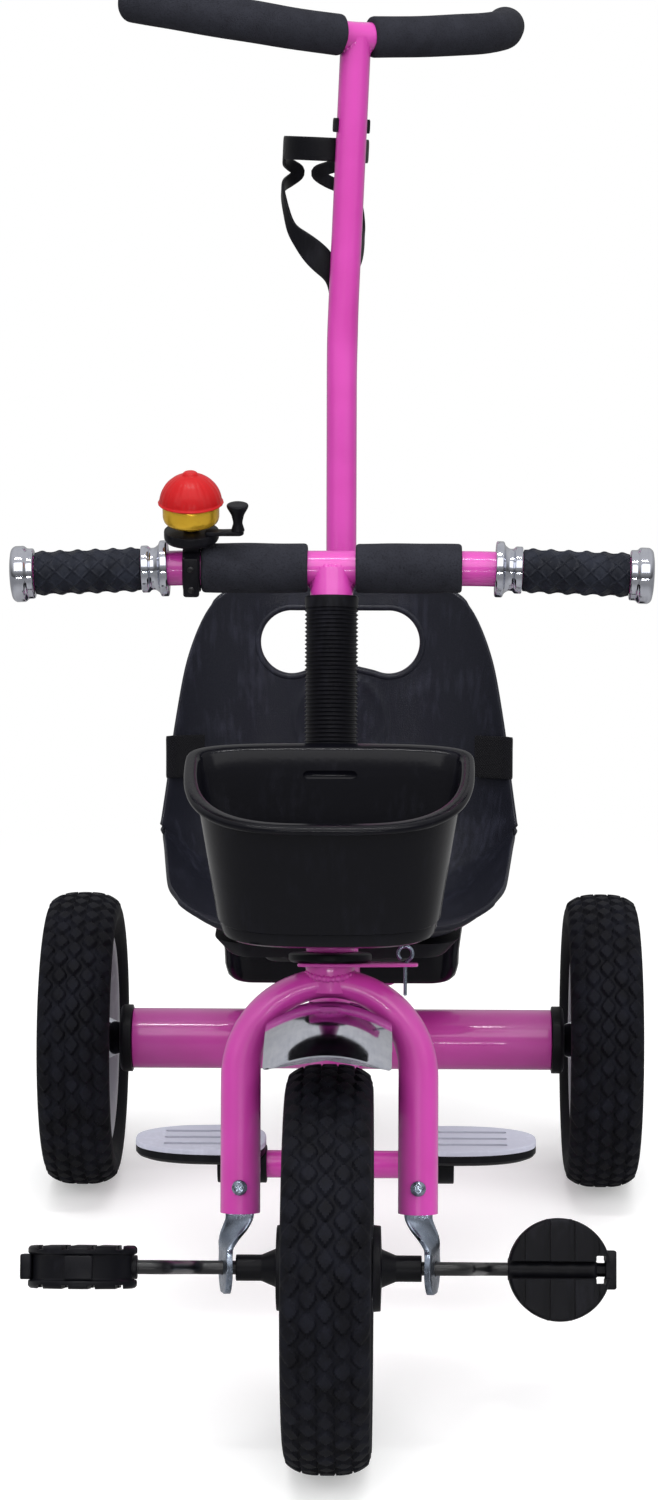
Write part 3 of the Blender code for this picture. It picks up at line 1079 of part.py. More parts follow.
def footrest(side):
    """Black footrest base on the bar, with a grey tread pad that has three slots."""
    word = "left" if side < 0 else "right"
    inner, tip = FOOTREST_INNER, FOOTREST_REACH
    half = FOOTREST_DEPTH / 2.0
    length = tip - inner

    def outline(offset):
        points = []
        for index in range(18):
            turn = 2.0 * math.pi * (index + 0.5) / 18
            c, s = math.cos(turn), math.sin(turn)
            x = (inner + length / 2.0) + (length / 2.0 - offset) * math.copysign(abs(c) ** 0.80, c)
            y = (half - offset) * math.copysign(abs(s) ** 0.72, s) * (1.0 - 0.18 * c)
            points.append((side * x, y))
        return points

    low = FOOTREST_Z + FOOTREST_BAR_RADIUS - 0.003
    high = FOOTREST_Z + FOOTREST_BAR_RADIUS + FOOTREST_BASE_HEIGHT
    place = Matrix.Translation((0.0, FOOTREST_Y, 0.0))
    rings = [[(x, y, low) for x, y in outline(0.006)], [(x, y, low + 0.004) for x, y in outline(0.0)],
             [(x, y, high) for x, y in outline(0.0)]]
    body = add_object("footrest_base_" + word, lofted("footrest_base", rings), BLACK_PLASTIC, TRICYCLE, place)
    boss_profile = [(0.0, 0.034), (0.0130, 0.034), (0.0130, 0.0), (0.0, 0.0)]
    boss = add_object(f"footrest_boss_{side}", turned("boss", boss_profile, 16), BLACK_PLASTIC, TRICYCLE,
                      Matrix.Translation((side * (inner - 0.0005), FOOTREST_Y, FOOTREST_Z)) @ turned_along_x(side))
    cut(body, boss, "UNION")
    bar_half = FOOTREST_INNER + 0.030
    hole_profile = [(0.0, bar_half + GAP), (FOOTREST_BAR_RADIUS + GAP, bar_half + GAP),
                    (FOOTREST_BAR_RADIUS + GAP, -bar_half - GAP), (0.0, -bar_half - GAP)]
    hole = add_object(f"footrest_bar_hole_{side}", turned("hole", hole_profile, 20), BLACK_PLASTIC, TRICYCLE,
                      Matrix.Translation((0.0, FOOTREST_Y, FOOTREST_Z)) @ ALONG_X)
    cut(body, hole)
    pad_low = high + GAP
    pad_high = pad_low + FOOTREST_PAD_HEIGHT
    rings = [[(x, y, pad_low) for x, y in outline(0.0)], [(x, y, pad_high - 0.001) for x, y in outline(0.0)],
             [(x, y, pad_high) for x, y in outline(0.0012)]]
    pad = add_object("footrest_pad_" + word, lofted("footrest_pad", rings), GREY, TRICYCLE, place)
    for row in (-1, 0, 1):
        slot_low, slot_high = sorted((side * (inner + 0.018), side * (tip - 0.020)))
        slot = add_object(f"footrest_slot_{word}_{row}",
                          block("slot", (slot_low, row * 0.0125 - 0.0022, pad_high - 0.002),
                                (slot_high, row * 0.0125 + 0.0022, pad_high + 0.01)), GREY, TRICYCLE, place)
        cut(pad, slot)


def rear_end():
    """Axle rod, end bushes and the two rear wheels with their hub discs."""
    hub_half = REAR_TYRE_WIDTH / 2.0
    wheel_x = REAR_TRACK / 2.0
    rod_half = wheel_x + hub_half - 0.004
    place = Matrix.Translation((0.0, WHEELBASE, REAR_WHEEL_RADIUS)) @ ALONG_X
    profile = [(0.0, rod_half), (REAR_ROD_RADIUS, rod_half), (REAR_ROD_RADIUS, -rod_half), (0.0, -rod_half)]
    add_object("rear_axle_rod", turned("rear_axle_rod", profile, 16), ZINC, TRICYCLE, place)
    for side in (-1, 1):
        word = "left" if side < 0 else "right"
        bush_place = Matrix.Translation((side * (REAR_TUBE_HALF + GAP), WHEELBASE, REAR_WHEEL_RADIUS)) @ turned_along_x(side)
        plug = REAR_TUBE_RADIUS - TUBE_WALL - GAP
        bush_bore = REAR_ROD_RADIUS + GAP
        profile = [(bush_bore, BUSH_WIDTH), (BUSH_RADIUS - 0.002, BUSH_WIDTH), (BUSH_RADIUS, BUSH_WIDTH - 0.002),
                   (BUSH_RADIUS, 0.0), (plug, 0.0), (plug, -0.012), (bush_bore, -0.012)]
        add_object("axle_bush_" + word, turned("axle_bush", profile, 20), BLACK_PLASTIC, TRICYCLE, bush_place)
        wheel_place = Matrix.Translation((side * wheel_x, 0.0, 0.0)) @ turned_along_x(side)
        tyre("rear_tyre_" + word, REAR_WHEEL_RADIUS, REAR_TYRE_WIDTH, TREAD_BLOCKS_REAR, REAR_AXLE, wheel_place)
        wheel_rim("rear_rim_" + word, REAR_WHEEL_RADIUS, REAR_TYRE_WIDTH, 0.018, REAR_AXLE, wheel_place)
        rod_bore = REAR_ROD_RADIUS + RUNNING_GAP
        shell = 0.0012
        inner_face = -(wheel_x - REAR_TUBE_HALF - GAP - BUSH_WIDTH - RUNNING_GAP)
        disc_r = REAR_HUB_RADIUS
        profile = [(rod_bore, inner_face), (0.0120, inner_face), (0.0165, inner_face + 0.010),
                   (disc_r - 0.020, -0.0105), (disc_r - 0.004, -0.0100), (disc_r, -0.0060), (disc_r, -0.0045),
                   (0.0178, -0.0045), (0.0178, 0.0045), (disc_r, 0.0045), (disc_r, 0.0060),
                   (disc_r - 0.004, 0.0100), (disc_r - 0.020, 0.0105), (0.0165, hub_half - 0.004),
                   (0.0110, hub_half), (0.0, hub_half), (0.0, hub_half - 0.0035), (rod_bore, hub_half - 0.0035)]
        add_object("rear_hub_" + word, turned("rear_hub", profile[::-1], 18), CHROME, REAR_AXLE, wheel_place)


def handle_top():
    """Matrix from the top of the pole to the handle's frame: +Z up along the upper pole."""
    return (Matrix.Translation((0.0, 0.0, LOWER_LENGTH)) @ Matrix.Rotation(POLE_BEND, 4, "X")
            @ Matrix.Translation((0.0, 0.0, UPPER_LENGTH)))


def t_bar_path(start, end, steps):
    """Points of one half of the swept crossbar between two lengths from the middle."""
    arc_length = T_BAR_BEND_RADIUS * T_BAR_SWEEP
    total = T_BAR_STRAIGHT + arc_length + T_BAR_END
    points = []
    for length in np.linspace(start, min(end, total), steps + 1):
        if length <= T_BAR_STRAIGHT:
            x, y = length, 0.0
        elif length <= T_BAR_STRAIGHT + arc_length:
            turn = (length - T_BAR_STRAIGHT) / T_BAR_BEND_RADIUS
            x = T_BAR_STRAIGHT + T_BAR_BEND_RADIUS * math.sin(turn)
            y = T_BAR_BEND_RADIUS * (1.0 - math.cos(turn))
        else:
            rest = length - T_BAR_STRAIGHT - arc_length
            x = (T_BAR_STRAIGHT + T_BAR_BEND_RADIUS * math.sin(T_BAR_SWEEP) + rest * math.cos(T_BAR_SWEEP))
            y = T_BAR_BEND_RADIUS * (1.0 - math.cos(T_BAR_SWEEP)) + rest * math.sin(T_BAR_SWEEP)
        points.append((x, y, T_BAR_RISE * (length / total) ** 1.4))
    return points


def push_handle():
    """Bent pole with its welded crossbar, the two foam covers and the bottle cage."""
    tip = (0.0, -UPPER_LENGTH * math.sin(POLE_BEND), LOWER_LENGTH + UPPER_LENGTH * math.cos(POLE_BEND))
    path = rounded_path([(0.0, 0.0, 0.0), (0.0, 0.0, LOWER_LENGTH), tip], 0.060, 4)
    body = tube_along("push_handle", path, POLE_RADIUS, PINK, HANDLE, sides=16)
    top = empty("handle_top", HANDLE, handle_top())
    steel_end = T_BAR_TOTAL - 0.006
    half = t_bar_path(0.0, steel_end, 7)
    bar_points = [(-x, y, z) for x, y, z in reversed(half[1:])] + half
    bar = tube_along("push_handle_bar", bar_points, T_BAR_RADIUS, PINK, top, sides=8)
    cut(body, bar, "UNION")
    for side in (-1, 1):
        word = "left" if side < 0 else "right"
        name = "handle_foam_" + word
        points = [(side * x, y, z) for x, y, z in t_bar_path(POLE_RADIUS + HANDLE_FOAM_GAP - 0.004, T_BAR_TOTAL, 9)]
        foam = tube_along(name, points, HANDLE_FOAM_RADIUS, BLACK_FOAM, top, sides=10)
        hole_points = [(side * x, y, z) for x, y, z in t_bar_path(0.0, steel_end + GAP, 7)]
        hole = tube_along(name + "_bore", hole_points, T_BAR_RADIUS + 4 * GAP, BLACK_FOAM, top, sides=8)
        cut(foam, hole)
        pole_tool = tube_along(name + "_notch", [(0.0, 0.0, -0.05), (0.0, 0.0, 0.05)], POLE_RADIUS + GAP, BLACK_FOAM,
                               top, sides=20)
        cut(foam, pole_tool)


def bottle_cage():
    """Moulded cage behind the upper pole: open ring, two waisted side bands and a tail."""
    place = empty("cage_place", HANDLE, handle_top() @ Matrix.Translation((0.0, 0.0, -CAGE_TOP)))
    ring_y = POLE_RADIUS + GAP + CAGE_BAND + CAGE_RING_RADIUS
    outer, inner = CAGE_RING_RADIUS + CAGE_BAND, CAGE_RING_RADIUS
    open_half = math.radians(38.0)
    start, end = math.radians(90.0) + open_half, math.radians(450.0) - open_half
    outline = arc((0.0, ring_y), outer, start, end, 14) + arc((0.0, ring_y), inner, end, start, 14)
    body = add_object("bottle_cage", extruded("cage_ring", outline, -CAGE_RING_HEIGHT, 0.0), BLACK_PLASTIC, place)
    spine_low = -CAGE_LENGTH
    back_y = POLE_RADIUS + GAP
    spine = add_object("cage_spine", block("cage_spine", (-0.006, back_y, spine_low), (0.006, back_y + CAGE_BAND,
                                                                                      0.016)), BLACK_PLASTIC, place)
    cut(body, spine, "UNION")
    for side in (-1, 1):
        rings = []
        stations = [(0.07, 0.0300, ring_y - 0.006), (0.19, 0.0235, ring_y - 0.004), (0.30, 0.0240, ring_y),
                    (0.42, 0.0300, ring_y + 0.002), (0.52, 0.0305, ring_y), (0.66, 0.0235, ring_y - 0.006),
                    (0.80, 0.0130, ring_y - 0.016), (0.905, 0.0050, back_y + 0.006),
                    (0.975, 0.0020, back_y + 0.002)]
        for share, x, y in stations:
            height = -share * CAGE_LENGTH
            wide = 0.0055 if share > 0.1 else 0.0065
            ring = [(side * x, y - wide, height), (side * (x + CAGE_BAND), y - wide, height),
                    (side * (x + CAGE_BAND), y + wide, height), (side * x, y + wide, height)]
            rings.append(ring if side > 0 else ring[::-1])
        band = add_object(f"cage_band_{side}", lofted("cage_band", rings), BLACK_PLASTIC, place)
        cut(body, band, "UNION")
    clamp_outline = (arc((0.0, 0.0), POLE_RADIUS + 0.0028, math.radians(-60.0), math.radians(240.0), 12)
                     + arc((0.0, 0.0), POLE_RADIUS + GAP, math.radians(240.0), math.radians(-60.0), 12))
    clamp = add_object("cage_clamp", extruded("cage_clamp", clamp_outline, 0.004, 0.014), BLACK_PLASTIC, place)
    cut(body, clamp, "UNION")
    pole_tool = tube_along("cage_pole_clear", [(0.0, 0.0, -0.2), (0.0, 0.0, 0.05)], POLE_RADIUS + GAP, BLACK_PLASTIC,
                           place, sides=20)
    cut(body, pole_tool)
    bolt_profile = [(0.0, 0.0062), (0.0030, 0.0062), (0.0042, 0.0050), (0.0042, GAP), (0.0, GAP)]
    bolt_y = POLE_RADIUS + max(0.0028, GAP + CAGE_BAND)
    add_object("cage_bolt", turned("cage_bolt", bolt_profile, 12), CHROME, place,
               Matrix.Translation((0.0, bolt_y, 0.009)) @ Matrix.Rotation(math.radians(-90.0), 4, "X"))


def centre_on_ground():
    """Move the root empty so that the whole tricycle is centred front to back."""
    bpy.context.view_layer.update()
    lows, highs = [], []
    for piece in bpy.context.scene.objects:
        if piece.type == "MESH" and not piece.hide_render:
            corners = [(piece.matrix_world @ vertex.co).y for vertex in piece.data.vertices]
            lows.append(min(corners))
            highs.append(max(corners))
    TRICYCLE.location.y = -(min(lows) + max(highs)) / 2.0
    bpy.context.view_layer.update()
    print("front axle at y =", round(TRICYCLE.location.y, 6))


front_wheel()
crank_rod()
pedal(-1)
pedal(1)
fork()
dropout(-1)
dropout(1)
fender()
head_cups()
SPINE_PLACE = frame_tubes()
handlebar()
stem_sleeve()
bar_dressing(-1)
bar_dressing(1)
bell()
front_basket()
basket_bracket()
lock_pin()
seat_post(SPINE_PLACE)
seat()
seat_belt()
rear_box()
footrest(-1)
footrest(1)
rear_end()
push_handle()
bottle_cage()
centre_on_ground()
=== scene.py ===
import math

import bpy
import numpy as np
from mathutils import Matrix, Vector


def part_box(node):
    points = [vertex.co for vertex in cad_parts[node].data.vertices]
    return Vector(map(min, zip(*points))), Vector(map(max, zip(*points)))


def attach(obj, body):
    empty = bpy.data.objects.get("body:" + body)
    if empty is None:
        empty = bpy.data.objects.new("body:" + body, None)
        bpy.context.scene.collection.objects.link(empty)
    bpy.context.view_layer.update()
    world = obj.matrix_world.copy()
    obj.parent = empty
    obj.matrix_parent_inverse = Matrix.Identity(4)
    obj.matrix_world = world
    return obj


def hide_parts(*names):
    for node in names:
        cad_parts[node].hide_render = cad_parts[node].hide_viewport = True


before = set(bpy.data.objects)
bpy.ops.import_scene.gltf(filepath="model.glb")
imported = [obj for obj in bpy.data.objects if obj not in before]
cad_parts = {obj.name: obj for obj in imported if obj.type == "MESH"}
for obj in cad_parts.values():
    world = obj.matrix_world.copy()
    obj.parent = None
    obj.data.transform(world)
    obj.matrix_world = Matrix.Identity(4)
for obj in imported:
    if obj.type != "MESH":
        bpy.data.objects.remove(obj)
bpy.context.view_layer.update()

# %% [markdown]
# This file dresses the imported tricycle. The real one is a child's tricycle of painted steel tube
# with moulded plastic parts. Every new piece is a surface worked out with numpy: a grid of points
# made by a formula, turned into a closed skin. That keeps each shape readable as a few sizes and
# one rule, and a change of a size changes the piece.
#
# Two facts place everything: the middle of the front axle and the middle of the rear axle. Both
# are read from the frame, so the pieces sit where the solids are.

# %% Places read from the frame
SIDES = ((-1, "left"), (1, "right"))
RAKE_DEGREES = 15.0
RAKE = math.radians(RAKE_DEGREES)
WORLD = np.eye(4)


def middle(node):
    """Centre of a solid's box, as an array."""
    return np.mean(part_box(node), axis=0)


def shift(x=0.0, y=0.0, z=0.0):
    """4 by 4 matrix of a move."""
    matrix = np.eye(4)
    matrix[:3, 3] = x, y, z
    return matrix


def turn(axis, degrees):
    """4 by 4 matrix of a turn about X, Y or Z by the right-hand rule."""
    return np.array(Matrix.Rotation(math.radians(degrees), 4, axis))


def along_x(side=1):
    """Matrix that lays a solid made about Z along X, its +Z towards the given side."""
    return turn("Y", 90.0 * side)


FRONT_AXLE = middle("front_hub")
REAR_AXLE = middle("rear_axle_rod")
START_Y = FRONT_AXLE[1]
GROUND = shift(0.0, START_Y, 0.0)
STEERING = shift(*FRONT_AXLE) @ turn("X", -RAKE_DEGREES)
print("front axle", FRONT_AXLE.round(4), "rear axle", REAR_AXLE.round(4))

# %% [markdown]
# A turned piece, such as a hub or a bell, is a profile carried round an axis. A tube is a circle
# carried along a path. A moulded tub is one outline carried up through its heights. All three are
# the same thing: rows of rings. One function therefore closes rows of rings into a skin, and the
# other functions only work out the rings. The skin's volume is measured, and it is turned inside
# out if the volume comes out negative, so that all faces point outwards.

# %% Skins from rows of rings
def outward(points, quads, triangles):
    """Shell (points, quads, triangles), its faces turned round if its volume is negative.

    The volume is the sum of the pyramids from the origin to every triangle.
    """
    fans = np.vstack([quads[:, [0, 1, 2]], quads[:, [0, 2, 3]], triangles])
    a, b, c = (points[fans[:, corner]] for corner in range(3))
    if np.einsum("ij,ij->", a, np.cross(b, c)) < 0.0:
        quads, triangles = quads[:, ::-1], triangles[:, ::-1]
    return points, quads, triangles


def moved(shell, matrix):
    """The shell carried by a matrix."""
    return outward(shell[0] @ matrix[:3, :3].T + matrix[:3, 3], *shell[1:])


def skin(rings, wrap=False):
    """Closed shell through rings of points (rows, columns, 3).

    Each ring is closed on itself. With wrap the last ring joins the first, as on a hoop;
    otherwise a fan of triangles to the ring's middle closes each end.
    """
    rings = np.asarray(rings, float)
    rows, columns = rings.shape[:2]
    row, column = np.meshgrid(np.arange(rows if wrap else rows - 1), np.arange(columns), indexing="ij")
    next_row, next_column = (row + 1) % rows, (column + 1) % columns
    quads = np.stack([row * columns + column, row * columns + next_column,
                      next_row * columns + next_column, next_row * columns + column], -1).reshape(-1, 4)
    points = rings.reshape(-1, 3)
    triangles = np.zeros((0, 3), int)
    if not wrap:
        here = np.arange(columns)
        after = (here + 1) % columns
        last = (rows - 1) * columns
        pole = np.full(columns, len(points))
        triangles = np.vstack([np.stack([after, here, pole], -1),
                               np.stack([last + here, last + after, pole + 1], -1)])
        points = np.vstack([points, rings[0].mean(0), rings[-1].mean(0)])
    return outward(points, quads, triangles)


def unit(vectors):
    """Vectors scaled to a length of one."""
    return vectors / np.linalg.norm(vectors, axis=-1, keepdims=True)


def square_to(ahead, vectors):
    """Unit directions nearest to the given vectors that stand square to unit directions."""
    return unit(vectors - ahead * np.einsum("ij,ij->i", vectors, ahead)[:, None])


def lengths(path):
    """Distance along a path to each of its points."""
    return np.concatenate([[0.0], np.cumsum(np.linalg.norm(np.diff(path, axis=0), axis=1))])


def read_along(path, at):
    """Points of a path at the given distances along it."""
    return np.stack([np.interp(at, lengths(path), column) for column in np.transpose(path)], -1)


def dense(path, step=0.002):
    """Path with points no farther apart than the step, on its straight stretches too."""
    total = lengths(path)[-1]
    return read_along(path, np.linspace(0.0, total, int(total / step) + 2))


def evenly(loop, count):
    """Closed loop read again at even distances."""
    loop = np.vstack([loop, loop[:1]])
    return read_along(loop, np.linspace(0.0, lengths(loop)[-1], count, endpoint=False))


def full_turn(count):
    """Angles of a full turn."""
    return np.linspace(0.0, 2.0 * np.pi, count, endpoint=False)


def arc(angle, radius=1.0):
    """Points at angles of a circle."""
    return np.stack([radius * np.cos(angle), radius * np.sin(angle)], -1)


def circle(radius, sides=32):
    """Points of a circle as (across, up)."""
    return arc(full_turn(sides), radius)


def at_height(outline, height):
    """Flat outline at a height."""
    return np.column_stack([outline, np.full(len(outline), height)])


def blended(value, low, high):
    """Smooth step: 0 below low, 1 above high, with level ends."""
    share = np.clip((np.asarray(value, float) - low) / (high - low), 0.0, 1.0)
    return share * share * (3.0 - 2.0 * share)


def softened(points, reach, steps=4, closed=False):
    """Path whose corners are replaced by parabolas.

    Each parabola starts and ends at the given reach from its corner, or at 0.45 of a shorter
    side, and bends towards the corner.
    """
    path = np.asarray(points, float)
    if closed:
        before, corner, after = np.roll(path, 1, 0), path, np.roll(path, -1, 0)
    else:
        before, corner, after = path[:-2], path[1:-1], path[2:]

    def towards(other):
        length = np.linalg.norm(other - corner, axis=1, keepdims=True)
        return (corner + (other - corner) / length * np.minimum(reach, 0.45 * length))[:, None]

    share = np.linspace(0.0, 1.0, steps + 1)[None, :, None]
    bends = ((1 - share) ** 2 * towards(before) + 2 * share * (1 - share) * corner[:, None]
             + share ** 2 * towards(after))
    bends = bends.reshape(-1, path.shape[1])
    return bends if closed else np.vstack([path[:1], bends, path[-1:]])


def lathe(profile, matrix=WORLD, segments=64, reach=0.0006, closed=False, wave=None):
    """Shell of a profile of (radius, height) carried round Z.

    closed says that the profile is a loop, as of a ring. wave is a function of the radius,
    height and angle that gives the radius to use.
    """
    line = softened(profile, reach, closed=closed)
    if not closed and line[0, 0] == 0.0 and line[-1, 0] == 0.0:
        line = line[1:-1]
    angle = full_turn(segments)[None]
    radius, height = (np.repeat(column[:, None], segments, 1) for column in line.T)
    if wave is not None:
        radius = wave(radius, height, angle)
    return moved(skin(np.stack([radius * np.cos(angle), radius * np.sin(angle), height], -1), closed), matrix)


def rod(radius, low, high, matrix=WORLD, segments=48, reach=0.0001):
    """Round bar about Z."""
    return lathe([(0.0, low), (radius, low), (radius, high), (0.0, high)], matrix, segments, reach)


def sleeve(inner, outer, low, high, matrix=WORLD, segments=64, reach=0.0005):
    """Tube about Z with a bore."""
    return lathe([(inner, low), (outer, low), (outer, high), (inner, high)], matrix, segments, reach, True)


def swept(path, section, side=(1.0, 0.0, 0.0), matrix=WORLD):
    """Shell of a section carried along a path.

    section holds (across, up) points, once for all stations or once for each; side is the
    direction that across keeps to.
    """
    path, section = np.asarray(path, float), np.asarray(section, float)
    ahead = unit(np.gradient(path, axis=0))
    across = square_to(ahead, np.broadcast_to(side, ahead.shape))
    up = np.cross(ahead, across)[:, None]
    return moved(skin(path[:, None] + section[..., :1] * across[:, None] + section[..., 1:] * up), matrix)


def beaded(path, section, out, matrix=WORLD):
    """Hoop of a section of (out, up) points carried along a closed path; out is a rule of the tangents."""
    ahead = unit(np.roll(path, -1, 0) - np.roll(path, 1, 0))
    out = out(ahead)
    up = np.cross(ahead, out)[:, None]
    return moved(skin(path[:, None] + section[..., :1] * out[:, None] + section[..., 1:] * up, True), matrix)


def domed(path, radius, sides=32, dome=0.004, side=(1.0, 0.0, 0.0), matrix=WORLD):
    """Round bar whose two ends close in a quarter ellipse of the given length."""
    share = np.linspace(0.0, np.pi / 2.0, 6)
    rise, width = dome * np.sin(share)[:, None], np.cos(share)
    line = np.vstack([path[0] + unit(path[0] - path[1]) * rise[::-1], path[1:-1],
                      path[-1] + unit(path[-1] - path[-2]) * rise])
    width = np.maximum(np.concatenate([width[::-1], np.ones(len(path) - 2), width]), 0.02) * radius
    return swept(line, circle(1.0, sides)[None] * width[:, None, None], side, matrix)


def smooth_path(points, count):
    """Curve through points: each coordinate is a natural cubic of the path's length.

    The second derivatives solve the usual three-term system, and each stretch is the cubic
    that has them at its ends.
    """
    knots = lengths(points)
    gap = np.diff(knots)
    system, right = np.eye(len(knots)), np.zeros_like(points)
    inner = np.arange(1, len(knots) - 1)
    system[inner, inner - 1] = gap[:-1] / 6.0
    system[inner, inner] = (gap[:-1] + gap[1:]) / 3.0
    system[inner, inner + 1] = gap[1:] / 6.0
    right[1:-1] = np.diff(np.diff(points, axis=0) / gap[:, None], axis=0)
    bend = np.linalg.solve(system, right)
    at = np.linspace(0.0, knots[-1], count)
    here = np.clip(np.searchsorted(knots, at) - 1, 0, len(gap) - 1)
    a = ((knots[here + 1] - at) / gap[here])[:, None]
    b = 1.0 - a
    bow = ((a ** 3 - a) * bend[here] + (b ** 3 - b) * bend[here + 1]) * gap[here][:, None] ** 2 / 6.0
    return a * points[here] + b * points[here + 1] + bow


def plate(outline, low, high, edge=0.0005, matrix=WORLD):
    """Flat plate of a convex outline with rounded rims."""
    outline = np.asarray(outline, float)
    centre = outline.mean(0)
    from_centre = outline - centre
    reach = np.linalg.norm(from_centre, axis=1)[:, None]
    rise = ((1.0, 0.0), (0.35, 0.35), (0.0, 1.0))
    levels = [(shrink, low + up * edge) for shrink, up in rise]
    levels += [(shrink, high - up * edge) for shrink, up in reversed(rise)]
    return moved(skin([at_height(centre + from_centre * (1.0 - shrink * edge / reach), height)
                       for shrink, height in levels]), matrix)


def rounded_box(half_x, half_y, corner, steps=8):
    """Outline of a rectangle with round corners, centred on the origin."""
    quarter = np.linspace(0.0, np.pi / 2.0, steps + 1)
    turns = (quarter[None] + np.arange(4)[:, None] * np.pi / 2.0).reshape(-1)
    sign = np.repeat([[1, 1], [-1, 1], [-1, -1], [1, -1]], steps + 1, axis=0)
    return sign * [half_x - corner, half_y - corner] + arc(turns, corner)


def box_shell(one, other, corner=0.0006, matrix=WORLD):
    """Box between two opposite corners with rounded upright edges."""
    low, high = np.minimum(one, other), np.maximum(one, other)
    half = (high - low) / 2.0
    outline = rounded_box(half[0], half[1], min(corner, half[0] * 0.9, half[1] * 0.9), 3)
    return plate(outline, -half[2], half[2], min(corner, half[2] * 0.9), matrix @ shift(*(low + high) / 2.0))


# %% [markdown]
# A piece is one or more skins in one mesh. The mesh is filled from arrays, its faces are shaded
# smooth, and the edges that fold more than a given angle are kept sharp. The piece then rides on
# its body and stands for the solids that it replaces. A finish is a material paired with the name
# of a slot; the script does not read that name.

# %% Pieces from skins
def piece(name, shells, finish, body, replaces=None, crease=38.0, attributes=None):
    """Mesh object of shells that rides on a body."""
    shells = shells if isinstance(shells, list) else [shells]
    start = np.cumsum([0] + [len(shell[0]) for shell in shells])
    points = np.vstack([shell[0] for shell in shells])
    quads = np.vstack([shell[1] + first for shell, first in zip(shells, start)])
    triangles = np.vstack([shell[2] + first for shell, first in zip(shells, start)])
    mesh = bpy.data.meshes.new(name)
    mesh.from_pydata(points, [], quads.tolist() + triangles.tolist())
    for label, values in (attributes or {}).items():
        filler = np.zeros(len(points), np.float32)
        filler[:len(values)] = values
        mesh.attributes.new(label, "FLOAT", "POINT").data.foreach_set("value", filler)
    mesh.shade_smooth()
    mesh.set_sharp_from_angle(angle=math.radians(crease))
    mesh.materials.append(finish[0])
    made = bpy.data.objects.new(name, mesh)
    bpy.context.scene.collection.objects.link(made)
    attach(made, body)
    if replaces:
        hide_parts(replaces)
    print(f"{name}: {len(mesh.vertices)} points, {len(mesh.polygons)} faces")
    return made


def carved(made, *cutters):
    """The piece with the cutters' shapes taken out of its mesh; the cutters are removed."""
    for number, shell in enumerate(cutters):
        mesh = bpy.data.meshes.new(f"cutter_{number}")
        mesh.from_pydata(shell[0], [], shell[1].tolist() + shell[2].tolist())
        tool = bpy.data.objects.new(f"cutter_{number}", mesh)
        bpy.context.scene.collection.objects.link(tool)
        step = made.modifiers.new("carve", "BOOLEAN")
        step.operation, step.solver, step.object = "DIFFERENCE", "EXACT", tool
        bpy.context.view_layer.update()
        result = made.evaluated_get(bpy.context.evaluated_depsgraph_get())
        carved_mesh = bpy.data.meshes.new_from_object(result)
        made.modifiers.clear()
        old = made.data
        made.data = carved_mesh
        bpy.data.meshes.remove(old)
        bpy.data.objects.remove(tool)
    made.data.shade_smooth()
    made.data.set_sharp_from_angle(angle=math.radians(35.0))
    return made


# %% [markdown]
# A finish is a shader graph. Written as sums and products it reads like a recipe, so one small
# class wraps a socket and lets Python's operators add the Math nodes. Colours keep to Mix nodes.
# All patterns read Object coordinates in metres, so a grain of half a millimetre is half a
# millimetre on every piece.

# %% Shader graphs as expressions
def srgb(red, green, blue):
    """Linear colour of a display colour given as 0 to 255."""
    display = np.array([red, green, blue]) / 255.0
    linear = np.where(display <= 0.04045, display / 12.92, ((display + 0.055) / 1.055) ** 2.4)
    return (*linear.tolist(), 1.0)


class Wire:
    """One output of a shader graph; the operators + - and * add Math nodes."""

    def __init__(self, graph, socket):
        self.graph, self.socket = graph, socket

    def math(self, operation, *values):
        return self.graph.node("Math", {"operation": operation}, dict(enumerate(values)))

    def __add__(self, other):
        return self.math("ADD", self, other)

    def __sub__(self, other):
        return self.math("SUBTRACT", self, other)

    def __rsub__(self, other):
        return self.math("SUBTRACT", other, self)

    def __mul__(self, other):
        return self.math("MULTIPLY", self, other)

    def wave(self):
        return self.math("SINE", self)

    __radd__ = __add__
    __rmul__ = __mul__


